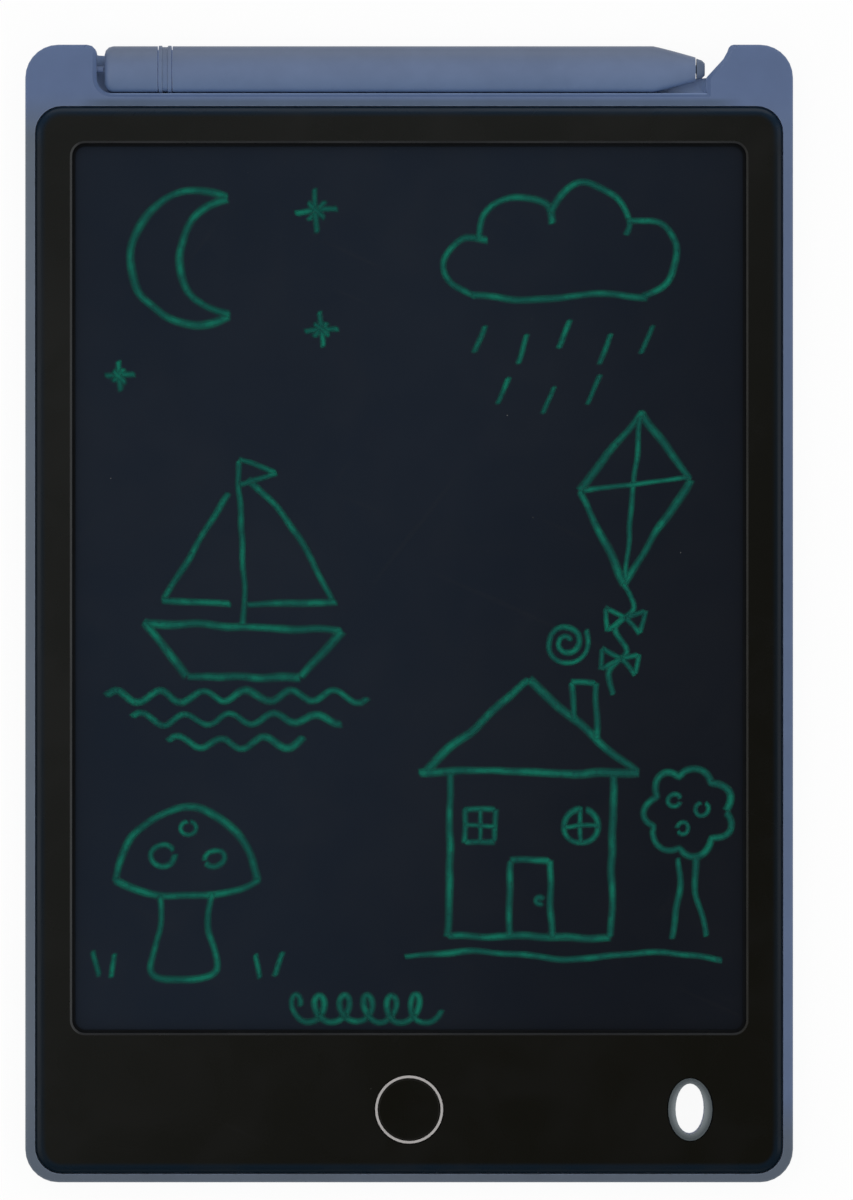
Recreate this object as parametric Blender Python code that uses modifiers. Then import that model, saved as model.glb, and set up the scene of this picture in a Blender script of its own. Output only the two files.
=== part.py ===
"""Writing tablet with an 8.5 inch film, a stylus in an open trough, one erase button and a lock slider.

The tablet lies on its back. X runs across it, Y runs up towards the stylus and Z out of the film.
"""

import math

import bmesh
import bpy
from mathutils import Matrix, Vector

MM = 0.001

# The housing outside
BODY_WIDTH = 148.6 * MM
BODY_LENGTH = 220.2 * MM
BODY_THICKNESS = 6.6 * MM
CORNER_RADIUS = 6.4 * MM
BACK_EDGE_RADIUS = 2.0 * MM
FRONT_EDGE_RADIUS = 0.7 * MM
SIDE_RIM = 1.9 * MM
END_RIM = 1.65 * MM
BACK_WALL = 1.5 * MM

# The front bezel
BEZEL_GAP = 0.2 * MM
BEZEL_DROP = 0.2 * MM
BEZEL_THICKNESS = 1.2 * MM
BEZEL_RADIUS = 5.0 * MM
BEZEL_EDGE_WIDTH = 1.35 * MM
BEZEL_EDGE_HEIGHT = 0.35 * MM
BEZEL_EDGE_POWER = 1.6
BORDER = 6.95 * MM
CHIN = 27.05 * MM
WINDOW_RADIUS = 2.5 * MM
WINDOW_CHAMFER = 0.4 * MM
LEDGE_WIDTH = 1.2 * MM
TAB_LENGTH = 8.0 * MM
TAB_THICKNESS = 0.8 * MM
TAB_DEPTH = 1.1 * MM
TAB_COUNT = 3

# The sheets under the window, from the bezel down
STACK_GAP = 0.2 * MM
TAPE_THICKNESS = 0.2 * MM
TAPE_SHOW = 0.6 * MM
FILM_THICKNESS = 0.4 * MM
FILM_MARGIN = 2.0 * MM
FILM_RADIUS = 3.0 * MM
BACKING_THICKNESS = 0.8 * MM
BACKING_SETBACK = 1.6 * MM
RIB_WIDTH = 1.0 * MM
RIB_STEP = 0.3 * MM
RIB_SINK = 0.5 * MM
LONG_RIBS = 5
CROSS_RIBS = 7

# The ears and the stylus trough between them
LEFT_EAR_WIDTH = 13.8 * MM
RIGHT_EAR_WIDTH = 13.5 * MM
EAR_REACH = 1.9 * MM
LEFT_EAR_CORNER = 1.8 * MM
RIGHT_EAR_CORNER = 1.0 * MM
EAR_FOOT_RISE = 3.5 * MM
EAR_FOOT_REACH = 3.2 * MM
TROUGH_DEPTH = 7.5 * MM
TROUGH_WALL = 2.5 * MM
TROUGH_FLOOR = 1.8 * MM
TROUGH_CORNER = 3.0 * MM
TROUGH_LIP = 0.8 * MM
TROUGH_FILLET = 2.6 * MM
BACK_LIP = 0.35 * MM
NOTCH_DEPTH = 4.4 * MM
NOTCH_WIDTH = 7.4 * MM
NOTCH_CORNER = 2.4 * MM
NUB_RADIUS = 0.65 * MM
NUB_SINK = 1.0 * MM

# The stylus
STYLUS_WIDTH = 9.0 * MM
STYLUS_HEIGHT = 4.8 * MM
STYLUS_END_GAP = 1.5 * MM
STYLUS_TIP_GAP = 0.35 * MM
STYLUS_SIDE_GAP = 0.2 * MM
STYLUS_FLOOR_GAP = 0.3 * MM
STYLUS_SQUARENESS = 2.7
END_CAP_LENGTH = 10.3 * MM
END_CAP_CHAMFER = 1.7 * MM
BAND_LENGTH = 2.5 * MM
BAND_RIDGE = 0.1 * MM
BAND_GROOVE = 0.15 * MM
BAND_GROOVE_WIDTH = 1.0 * MM
TAPER_LENGTH = 8.2 * MM
TAPER_END_WIDTH = 4.7 * MM
TAPER_END_HEIGHT = 4.4 * MM
TAPER_POWER = 1.1
SPIGOT_LENGTH = 7.4 * MM
SPIGOT_WIDTH = 7.6 * MM
SPIGOT_HEIGHT = 3.4 * MM
BARREL_BORE_WIDTH = 4.0 * MM
BARREL_BORE_HEIGHT = 1.5 * MM
TIP_LENGTH = 1.6 * MM
TIP_RADIUS = 2.1 * MM
TIP_NOSE_RADIUS = 1.75 * MM
TIP_NOSE_ROUNDING = 0.55 * MM
TIP_STEM_RADIUS = 0.8 * MM
TIP_STEM_LENGTH = 5.0 * MM
JOIN_GAP = 0.2 * MM

# The erase button and the switch under it
BUTTON_RISE = 12.25 * MM
BUTTON_RADIUS = 5.9 * MM
BUTTON_DISH = 0.15 * MM
BUTTON_TRAVEL = 0.5 * MM
BUTTON_FLANGE_RADIUS = 7.6 * MM
BUTTON_FLANGE_THICKNESS = 0.6 * MM
RING_WIDTH = 0.5 * MM
RING_GAP = 0.2 * MM
RING_THICKNESS = 0.5 * MM
RING_EDGE = 0.1 * MM
SWITCH_SIZE = 6.2 * MM
SWITCH_HEIGHT = 0.8 * MM
SWITCH_FLOOR = 0.15 * MM
PLUNGER_RADIUS = 1.4 * MM
PLUNGER_GAP = 0.3 * MM
PLUNGER_END_GAP = 0.1 * MM

# The lanyard hole
LANYARD_INSET = 17.8 * MM
LANYARD_WIDTH = 5.6 * MM
LANYARD_LENGTH = 9.9 * MM
LANYARD_WALL = 1.5 * MM
LANYARD_END_SHARE = 0.75
LANYARD_FLARE = 1.2 * MM
LANYARD_FLARE_DEPTH = 1.3 * MM

# The circuit board and what is soldered on it
BOARD_BAY_GAP = 0.4 * MM
BOARD_RIGHT = 34.0 * MM
BOARD_DEPTH = 17.4 * MM
BOARD_THICKNESS = 0.8 * MM
BOARD_RISE = 0.45 * MM
BOARD_RADIUS = 1.0 * MM
BOARD_BOSS_RADIUS = 2.2 * MM
BOARD_SCREW_INSET = 3.2 * MM
SOLDER_GAP = 0.15 * MM
CHIP_X = -13.5 * MM
CHIP_SHIFT = 4.2 * MM
CHIP_WIDTH = 4.9 * MM
CHIP_DEPTH = 3.9 * MM
CHIP_HEIGHT = 1.4 * MM
CHIP_EDGE = 0.2 * MM
LEG_PITCH = 1.27 * MM
LEG_WIDTH = 0.42 * MM
LEG_REACH = 1.0 * MM
LEG_HEIGHT = 0.35 * MM
LEG_COUNT = 4
INDUCTOR_X = 12.6 * MM
INDUCTOR_SHIFT = 4.0 * MM
INDUCTOR_RADIUS = 2.2 * MM
INDUCTOR_WAIST = 0.5 * MM
INDUCTOR_FLANGE = 0.4 * MM
INDUCTOR_HEIGHT = 1.9 * MM
CAPACITOR_LENGTH = 3.2 * MM
CAPACITOR_WIDTH = 1.7 * MM
CAPACITOR_HEIGHT = 1.4 * MM
CAPACITOR_EDGE = 0.15 * MM
CAPACITOR_SHIFT = 4.4 * MM
TAIL_WIDTH = 9.0 * MM
TAIL_THICKNESS = 0.15 * MM
TAIL_BOND = 1.2 * MM
TAIL_FOOT = 2.4 * MM

# The coin cell, its bay in the back and its cover
CELL_X = -36.5 * MM
CELL_RADIUS = 10.0 * MM
CELL_THICKNESS = 1.6 * MM
CELL_EDGE = 0.3 * MM
CELL_STEP = 0.2 * MM
CELL_CAP_INSET = 1.1 * MM
CELL_GAP = 0.3 * MM
BAY_WALL = 1.1 * MM
BAY_CEILING = 1.0 * MM
BAY_PAD = 0.7 * MM
BAY_PAD_MARGIN = 1.8 * MM
COVER_THICKNESS = 1.0 * MM
COVER_DROP = 0.1 * MM
COVER_GAP = 0.25 * MM
COVER_MARGIN = 1.2 * MM
COVER_RADIUS = 2.0 * MM
COVER_SCREW_SIDE = 9.4 * MM
COVER_SCREW_INSET = 4.4 * MM
TONGUE_WIDTH = 8.0 * MM
TONGUE_LENGTH = 1.2 * MM
TONGUE_THICKNESS = 0.45 * MM
CONTACT_THICKNESS = 0.25 * MM
CONTACT_WIDTH = 4.0 * MM
CONTACT_FOOT = 2.6 * MM
CONTACT_REACH = 9.0 * MM
SIDE_CONTACT_ANGLE = math.radians(-25.0)

# Screws
SCREW_HEAD_RADIUS = 1.7 * MM
SCREW_HEAD_HEIGHT = 0.7 * MM
SCREW_SHANK_RADIUS = 0.75 * MM
SCREW_TIP_RADIUS = 0.4 * MM
SCREW_CROWN = 0.25 * MM
SCREW_HOLE_GAP = 0.3 * MM
SCREW_RECESS_WIDTH = 0.45 * MM
SCREW_RECESS_LENGTH = 2.0 * MM
SCREW_RECESS_DEPTH = 0.4 * MM
COVER_SCREW_LENGTH = 3.4 * MM
COVER_BOSS_WALL = 1.0 * MM
COLLAR_RADIUS = 2.9 * MM
COLLAR_RISE = 0.9 * MM
SCREW_SINK = 0.25 * MM
BOARD_SCREW_LENGTH = 2.2 * MM

# The lock slider in the back
LOCK_X = 24.0 * MM
LOCK_TRAVEL = 3.0 * MM
KNOB_LENGTH = 3.6 * MM
KNOB_WIDTH = 3.0 * MM
KNOB_DROP = 0.3 * MM
KNOB_RIB = 0.4 * MM
KNOB_RIB_DEPTH = 0.3 * MM
KNOB_RIBS = 3
LOCK_GAP = 0.3 * MM
LOCK_RECESS_MARGIN = 2.2 * MM
LOCK_RECESS_DEPTH = 0.8 * MM
LOCK_FLANGE_LENGTH = 6.4 * MM
LOCK_FLANGE_WIDTH = 6.0 * MM
LOCK_FLANGE_THICKNESS = 0.6 * MM
LOCK_PIN_SIZE = 1.2 * MM
LOCK_PIN_HEIGHT = 1.0 * MM
LOCK_SWITCH_HEIGHT = 1.6 * MM
LOCK_SWITCH_LAP = 0.8 * MM
LOCK_SWITCH_LENGTH = 9.0 * MM

# How finely round shapes are cut, and how far a cutter runs past what it cuts
CORNER_STEPS = 7
ROUND_STEPS = 28
FINE_STEPS = 40
EDGE_STEPS = 3
SECTION_POINTS = 28
OVERRUN = 1.0 * MM
MERGE = 0.001 * MM
SMOOTH_ANGLE = math.radians(35.0)

# Heights that follow from the sizes above
FLOOR = BACK_WALL
BEZEL_TOP = BODY_THICKNESS - BEZEL_DROP
BEZEL_UNDER = BEZEL_TOP - BEZEL_THICKNESS
LEDGE_TOP = BEZEL_UNDER - BEZEL_GAP
TAPE_TOP = BEZEL_UNDER - STACK_GAP
FILM_TOP = TAPE_TOP - TAPE_THICKNESS - STACK_GAP
FILM_UNDER = FILM_TOP - FILM_THICKNESS
BACKING_TOP = FILM_UNDER - STACK_GAP
RIB_TOP = BACKING_TOP - BACKING_THICKNESS - STACK_GAP
BOARD_UNDER = FLOOR + BOARD_RISE
BOARD_TOP = BOARD_UNDER + BOARD_THICKNESS
PART_BASE = BOARD_TOP + SOLDER_GAP
COVER_TOP = COVER_DROP + COVER_THICKNESS
CELL_BASE = COVER_TOP + CELL_GAP
CELL_TOP = CELL_BASE + CELL_THICKNESS
CONTACT_BASE = CELL_TOP + STACK_GAP
BAY_TOP = CONTACT_BASE + CONTACT_THICKNESS + CELL_GAP

# Places in plan that follow from the sizes above
SIDE = BODY_WIDTH / 2
TOP = BODY_LENGTH / 2
BEZEL_SIDE = SIDE - SIDE_RIM - BEZEL_GAP
BEZEL_BOTTOM = -TOP + END_RIM + BEZEL_GAP
TROUGH_BACK = TOP - EAR_REACH
TROUGH_FRONT = TROUGH_BACK - TROUGH_DEPTH
TROUGH_OPEN_END = TOP + TROUGH_FILLET + OVERRUN
BEZEL_END = TROUGH_FRONT - TROUGH_WALL - BEZEL_GAP
WINDOW_SIDE = BEZEL_SIDE - BORDER
WINDOW_TOP = BEZEL_END - BORDER
WINDOW_BOTTOM = BEZEL_BOTTOM + CHIN
BAY_SIDE = BEZEL_SIDE + BEZEL_GAP - LEDGE_WIDTH
BAY_END = BEZEL_END + BEZEL_GAP - LEDGE_WIDTH
BAY_BOTTOM = BEZEL_BOTTOM - BEZEL_GAP + LEDGE_WIDTH
LEFT_EAR_INNER = -SIDE + LEFT_EAR_WIDTH
RIGHT_EAR_INNER = SIDE - RIGHT_EAR_WIDTH
STYLUS_START = LEFT_EAR_INNER + STYLUS_END_GAP
EAR_FOOT = RIGHT_EAR_INNER - EAR_FOOT_REACH
STYLUS_END = EAR_FOOT - STYLUS_TIP_GAP
STYLUS_Y = TROUGH_FRONT + STYLUS_SIDE_GAP + STYLUS_WIDTH / 2
STYLUS_Z = TROUGH_FLOOR + STYLUS_FLOOR_GAP + STYLUS_HEIGHT / 2
BUTTON_Y = BEZEL_BOTTOM + BUTTON_RISE
LANYARD_X = BEZEL_SIDE - LANYARD_INSET
BAY_RADIUS = CELL_RADIUS + CELL_GAP
CELL_Y = BAY_BOTTOM + BAY_RADIUS + BAY_WALL - CELL_GAP
COVER_LEFT = CELL_X - BAY_RADIUS - COVER_SCREW_SIDE
COVER_RIGHT = CELL_X + BAY_RADIUS + COVER_MARGIN
COVER_HALF = BAY_RADIUS + COVER_MARGIN
COVER_SCREW_X = COVER_LEFT + COVER_SCREW_INSET
BOARD_LEFT = COVER_RIGHT + BAY_PAD_MARGIN + BOARD_BAY_GAP
BOARD_SCREW_SIDE = BOARD_DEPTH / 2 - BOARD_SCREW_INSET
BOARD_SCREWS = {
    "left": (BOARD_LEFT + BOARD_SCREW_INSET, BUTTON_Y + BOARD_SCREW_SIDE),
    "right": (BOARD_RIGHT - BOARD_SCREW_INSET, BUTTON_Y - BOARD_SCREW_SIDE),
}
CONTACT_Y = BUTTON_Y + BOARD_SCREW_SIDE - SCREW_HEAD_RADIUS - CELL_GAP - CONTACT_WIDTH / 2

# Colours as seen on the tablet, with roughness and metallic value
FINISHES = {
    "slate_plastic": ((0.096, 0.138, 0.246), 0.45, 0.0),
    "black_gloss": ((0.009, 0.009, 0.008), 0.16, 0.0),
    "film": ((0.012, 0.016, 0.026), 0.3, 0.0),
    "black_sheet": ((0.01, 0.01, 0.012), 0.8, 0.0),
    "silver": ((0.6, 0.59, 0.58), 0.25, 1.0),
    "board_green": ((0.02, 0.13, 0.06), 0.4, 0.0),
    "component_black": ((0.015, 0.015, 0.016), 0.5, 0.0),
    "ferrite": ((0.05, 0.048, 0.045), 0.6, 0.0),
    "ceramic": ((0.42, 0.3, 0.2), 0.5, 0.0),
    "steel": ((0.5, 0.5, 0.5), 0.3, 1.0),
    "brass": ((0.7, 0.5, 0.22), 0.3, 1.0),
    "flex_amber": ((0.45, 0.2, 0.04), 0.35, 0.0),
}


def empty_scene():
    """Removes what the file holds, so that the tablet stands alone."""
    for thing in list(bpy.data.objects):
        bpy.data.objects.remove(thing, do_unlink=True)


def collection(name):
    """A collection of that name under the scene."""
    group = bpy.data.collections.new(name)
    bpy.context.scene.collection.children.link(group)
    return group


def finish_material(node, finish):
    """A material of a node's own, in one of the finishes."""
    colour, roughness, metallic = FINISHES[finish]
    material = bpy.data.materials.new(f"{node}_{finish}")
    material.use_nodes = True
    shader = material.node_tree.nodes["Principled BSDF"]
    shader.inputs["Base Color"].default_value = (*colour, 1.0)
    shader.inputs["Roughness"].default_value = roughness
    shader.inputs["Metallic"].default_value = metallic
    material.diffuse_color = (*colour, 1.0)
    return material


def mesh_object(name, shape, group):
    """An object from a bmesh, smooth over its round stretches."""
    bmesh.ops.recalc_face_normals(shape, faces=shape.faces)
    mesh = bpy.data.meshes.new(name)
    shape.to_mesh(mesh)
    shape.free()
    mesh.shade_smooth()
    mesh.set_sharp_from_angle(angle=SMOOTH_ANGLE)
    thing = bpy.data.objects.new(name, mesh)
    group.objects.link(thing)
    return thing


def part(name, shape, finish):
    """A piece of the tablet."""
    thing = mesh_object(name, shape, PARTS)
    thing.data.materials.append(finish_material(name, finish))
    return thing


def tool(name, shape):
    """A shape that only cuts or adds to a piece."""
    thing = mesh_object(name, shape, CUTTERS)
    thing.hide_render = True
    thing.display_type = "WIRE"
    return thing


def combine(target, other, operation):
    """Adds a Boolean of another object to a piece."""
    step = target.modifiers.new(other.name, "BOOLEAN")
    step.operation = operation
    step.solver = "EXACT"
    step.object = other


def cut(target, name, shape):
    """Cuts a shape out of a piece."""
    cutter = tool(f"{target.name}_{name}_cut", shape)
    combine(target, cutter, "DIFFERENCE")
    return cutter


def fuse(target, name, shape):
    """Adds a shape to a piece as one body."""
    added = tool(f"{target.name}_{name}_add", shape)
    combine(target, added, "UNION")
    return added


def repeat(thing, count, step):
    """Repeats a shape along a step."""
    array = thing.modifiers.new("Array", "ARRAY")
    array.count = count
    array.use_relative_offset = False
    array.use_constant_offset = True
    array.constant_offset_displace = step
    array.use_merge_vertices = False


def arc(centre, radius, start, end, steps):
    """Points on an arc, both ends included, with angles in degrees."""
    points = []
    for i in range(steps + 1):
        angle = math.radians(start + (end - start) * i / steps)
        points.append((centre[0] + radius * math.cos(angle), centre[1] + radius * math.sin(angle)))
    return points


def rounded(left, right, low, high, radius, steps=CORNER_STEPS):
    """The outline of a rectangle with round corners, anticlockwise."""
    points = arc((right - radius, low + radius), radius, -90, 0, steps)
    points += arc((right - radius, high - radius), radius, 0, 90, steps)
    points += arc((left + radius, high - radius), radius, 90, 180, steps)
    points += arc((left + radius, low + radius), radius, 180, 270, steps)
    return points


def oval(x, y, width, length, steps=ROUND_STEPS):
    """The outline of an ellipse."""
    turns = [2 * math.pi * i / steps for i in range(steps)]
    return [(x + width / 2 * math.cos(a), y + length / 2 * math.sin(a)) for a in turns]


def prism(outline, low, high):
    """A flat outline raised from one height to another."""
    shape = bmesh.new()
    corners = [shape.verts.new((x, y, low)) for x, y in outline]
    face = shape.faces.new(corners)
    raised = bmesh.ops.extrude_face_region(shape, geom=[face])["geom"]
    moved = [v for v in raised if isinstance(v, bmesh.types.BMVert)]
    bmesh.ops.translate(shape, verts=moved, vec=(0, 0, high - low))
    return shape


def block(left, right, front, back, low, high):
    """A box between two corners."""
    shape = bmesh.new()
    size = Matrix.Diagonal((right - left, back - front, high - low, 1))
    middle = Matrix.Translation(((left + right) / 2, (front + back) / 2, (low + high) / 2))
    bmesh.ops.create_cube(shape, size=1, matrix=middle @ size)
    return shape


def drum(x, y, radius, low, high, steps=ROUND_STEPS):
    """An upright cylinder."""
    shape = bmesh.new()
    middle = Matrix.Translation((x, y, (low + high) / 2))
    bmesh.ops.create_cone(shape, cap_ends=True, segments=steps, radius1=radius, radius2=radius,
                          depth=high - low, matrix=middle)
    return shape


def soften(shape, height, radius, segments=EDGE_STEPS):
    """Rounds the edges that lie at one height."""
    edges = [e for e in shape.edges if all(abs(v.co.z - height) < MERGE for v in e.verts)]
    bmesh.ops.bevel(shape, geom=edges, offset=radius, offset_type="OFFSET", segments=segments,
                    profile=0.5, affect="EDGES")
    return shape


def loft(sections):
    """A closed skin through sections with equal numbers of points, capped at both ends."""
    shape = bmesh.new()
    rings = [[shape.verts.new(point) for point in section] for section in sections]
    count = len(rings[0])
    for near, far in zip(rings, rings[1:]):
        for i in range(count):
            following = (i + 1) % count
            shape.faces.new((near[i], near[following], far[following], far[i]))
    shape.faces.new(rings[0])
    shape.faces.new(rings[-1])
    return shape


def flared(outline_at, levels):
    """A loft of one outline that grows by an amount at each height."""
    return loft([[(x, y, height) for x, y in outline_at(grow)] for height, grow in levels])


def turned(name, profile, place, finish, steps=ROUND_STEPS):
    """A piece turned about an upright axis from a profile that runs down its outer side."""
    shape = bmesh.new()
    corners = [shape.verts.new((radius, 0, height)) for radius, height in profile]
    for upper, lower in zip(corners, corners[1:]):
        shape.edges.new((upper, lower))
    mesh = bpy.data.meshes.new(name)
    shape.to_mesh(mesh)
    shape.free()
    thing = bpy.data.objects.new(name, mesh)
    thing.location = place
    PARTS.objects.link(thing)
    screw = thing.modifiers.new("Screw", "SCREW")
    screw.axis = "Z"
    screw.steps = steps
    screw.render_steps = steps
    screw.use_merge_vertices = True
    screw.merge_threshold = MERGE
    screw.use_smooth_shade = True
    thing.data.materials.append(finish_material(name, finish))
    return thing


def bent_strip(name, path, side, width, thickness, finish):
    """A strip of even thickness bent along a path, with its width along side."""
    shape = bmesh.new()
    across = Vector(side) * width / 2
    rows = []
    for point in path:
        place = Vector(point)
        rows.append((shape.verts.new(place - across), shape.verts.new(place + across)))
    for near, far in zip(rows, rows[1:]):
        shape.faces.new((near[0], near[1], far[1], far[0]))
    thing = part(name, shape, finish)
    solid = thing.modifiers.new("Solidify", "SOLIDIFY")
    solid.thickness = thickness
    solid.offset = 0
    solid.use_even_offset = True
    return thing


def grown(outline, amount):
    """An anticlockwise outline moved outwards by an amount, its corners kept as corners."""
    points = []
    for i, place in enumerate(outline):
        here = Vector(place)
        before = here - Vector(outline[i - 1])
        after = Vector(outline[(i + 1) % len(outline)]) - here
        out_before = Vector((before.y, -before.x)).normalized()
        out_after = Vector((after.y, -after.x)).normalized()
        points.append(here + (out_before + out_after) * amount / (1 + out_before.dot(out_after)))
    return points


def housing_outline(grow=0):
    """The outline of the whole tablet."""
    return rounded(-SIDE - grow, SIDE + grow, -TOP - grow, TOP + grow, CORNER_RADIUS + grow)


def trough_right_side():
    """The sloped inner side of the right ear, from its foot up past its top."""
    foot_y = TROUGH_BACK - NOTCH_DEPTH
    shoulder = (RIGHT_EAR_INNER, foot_y + EAR_FOOT_RISE)
    top_centre = (RIGHT_EAR_INNER + 2 * RIGHT_EAR_CORNER, TOP - RIGHT_EAR_CORNER)
    points = [(EAR_FOOT, foot_y), shoulder]
    points += arc(top_centre, RIGHT_EAR_CORNER, 180, 90, EDGE_STEPS)
    points.append((top_centre[0], TROUGH_OPEN_END))
    return points


def trough_left_side():
    """The round inner top corner of the left ear, from past its top downwards."""
    centre = (LEFT_EAR_INNER - LEFT_EAR_CORNER, TOP - LEFT_EAR_CORNER)
    return [(centre[0], TROUGH_OPEN_END)] + arc(centre, LEFT_EAR_CORNER, 90, 0, EDGE_STEPS)


def trough_outline(grow=0):
    """The stylus trough in plan, open to the back between the ears."""
    left = (LEFT_EAR_INNER + TROUGH_CORNER, TROUGH_FRONT + TROUGH_CORNER)
    points = arc(left, TROUGH_CORNER, 180, 270, CORNER_STEPS)
    points.append((EAR_FOOT, TROUGH_FRONT))
    points += trough_right_side()
    points += trough_left_side()
    return grown(points, grow)


def back_gap_outline(grow=0):
    """What is open behind the trough floor, with the finger notch under the stylus tip."""
    notch_left = EAR_FOOT - NOTCH_WIDTH
    notch_low = TROUGH_BACK - NOTCH_DEPTH
    inner = (notch_left + NOTCH_CORNER, notch_low + NOTCH_CORNER)
    points = [(LEFT_EAR_INNER, TROUGH_BACK), (notch_left - NOTCH_CORNER, TROUGH_BACK)]
    points += arc(inner, NOTCH_CORNER, 180, 270, CORNER_STEPS)
    points += trough_right_side()
    points += trough_left_side()
    return grown(points, grow)


def lanyard_outline(grow=0):
    """The lanyard hole, or a boss that is wider by an amount on both sides and a share of it at the ends."""
    width = LANYARD_WIDTH + 2 * grow
    return oval(LANYARD_X, BUTTON_Y, width, LANYARD_LENGTH + 2 * grow * LANYARD_END_SHARE)


def make_rear_shell():
    """The moulded housing: tray, ears, trough, cell bay, bosses and ribs."""
    blank = prism(housing_outline(), 0, BODY_THICKNESS)
    soften(blank, 0, BACK_EDGE_RADIUS)
    soften(blank, BODY_THICKNESS, FRONT_EDGE_RADIUS)
    shell = part("rear_shell", blank, "slate_plastic")

    pocket = rounded(-BEZEL_SIDE - BEZEL_GAP, BEZEL_SIDE + BEZEL_GAP, BEZEL_BOTTOM - BEZEL_GAP,
                     BEZEL_END + BEZEL_GAP, BEZEL_RADIUS + BEZEL_GAP)
    cut(shell, "pocket", prism(pocket, LEDGE_TOP, BODY_THICKNESS + OVERRUN))
    bay = rounded(-BAY_SIDE, BAY_SIDE, BAY_BOTTOM, BAY_END, BEZEL_RADIUS + BEZEL_GAP - LEDGE_WIDTH)
    cut(shell, "tray", prism(bay, FLOOR, LEDGE_TOP + OVERRUN))
    cut_trough(shell)
    add_trough_nub(shell)
    add_ribs(shell)
    add_cell_bay(shell)
    add_board_bosses(shell)
    add_lanyard_boss(shell)
    cut_lock_opening(shell)
    return shell


def cut_trough(shell):
    """The trough, with a fillet along its floor and a bevelled lip, and the gap behind its floor."""
    levels = []
    for i in range(CORNER_STEPS + 1):
        turn = math.pi / 2 * i / CORNER_STEPS
        levels.append((TROUGH_FLOOR + TROUGH_FILLET * (1 - math.cos(turn)),
                       -TROUGH_FILLET * (1 - math.sin(turn))))
    levels += [(BODY_THICKNESS - TROUGH_LIP, 0), (BODY_THICKNESS, TROUGH_LIP),
               (BODY_THICKNESS + OVERRUN, TROUGH_LIP)]
    cut(shell, "trough", flared(trough_outline, levels))
    gap_top = TROUGH_FLOOR + TROUGH_FILLET + OVERRUN
    gap_levels = [(-OVERRUN, BACK_LIP), (0, BACK_LIP), (BACK_LIP, 0), (gap_top, 0)]
    cut(shell, "back_gap", flared(back_gap_outline, gap_levels))


def add_trough_nub(shell):
    """The small nub on the left ear that holds the end of the stylus."""
    nub = bmesh.new()
    reach = STYLUS_END_GAP - JOIN_GAP
    middle = LEFT_EAR_INNER + (reach - NUB_SINK) / 2
    turn = Matrix.Translation((middle, STYLUS_Y, STYLUS_Z)) @ Matrix.Rotation(math.pi / 2, 4, "Y")
    bmesh.ops.create_cone(nub, cap_ends=True, segments=SECTION_POINTS // 2, radius1=NUB_RADIUS,
                          radius2=NUB_RADIUS, depth=reach + NUB_SINK, matrix=turn)
    fuse(shell, "nub", nub)


def add_ribs(shell):
    """The crossed ribs that carry the backing plate."""
    low = FLOOR - RIB_SINK
    first = WINDOW_BOTTOM + RIB_WIDTH
    last = BAY_END
    side_step = 2 * WINDOW_SIDE / LONG_RIBS
    left = -side_step * (LONG_RIBS - 1) / 2
    long_rib = block(left - RIB_WIDTH / 2, left + RIB_WIDTH / 2, first, last + RIB_SINK, low, RIB_TOP)
    repeat(fuse(shell, "long_ribs", long_rib), LONG_RIBS, (side_step, 0, 0))
    pitch = (last - first) / CROSS_RIBS
    cross_rib = block(-BAY_SIDE - RIB_SINK, BAY_SIDE + RIB_SINK, first, first + RIB_WIDTH,
                      low, RIB_TOP - RIB_STEP)
    repeat(fuse(shell, "cross_ribs", cross_rib), CROSS_RIBS, (0, pitch, 0))


def cover_outline(grow=0):
    """The battery cover in plan."""
    return rounded(COVER_LEFT - grow, COVER_RIGHT + grow, CELL_Y - COVER_HALF - grow,
                   CELL_Y + COVER_HALF + grow, COVER_RADIUS + grow)


def side_contact_frame():
    """The frame of the side contact: its X axis points out of the cell's middle."""
    return Matrix.Translation((CELL_X, CELL_Y, 0)) @ Matrix.Rotation(SIDE_CONTACT_ANGLE, 4, "Z")


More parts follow.
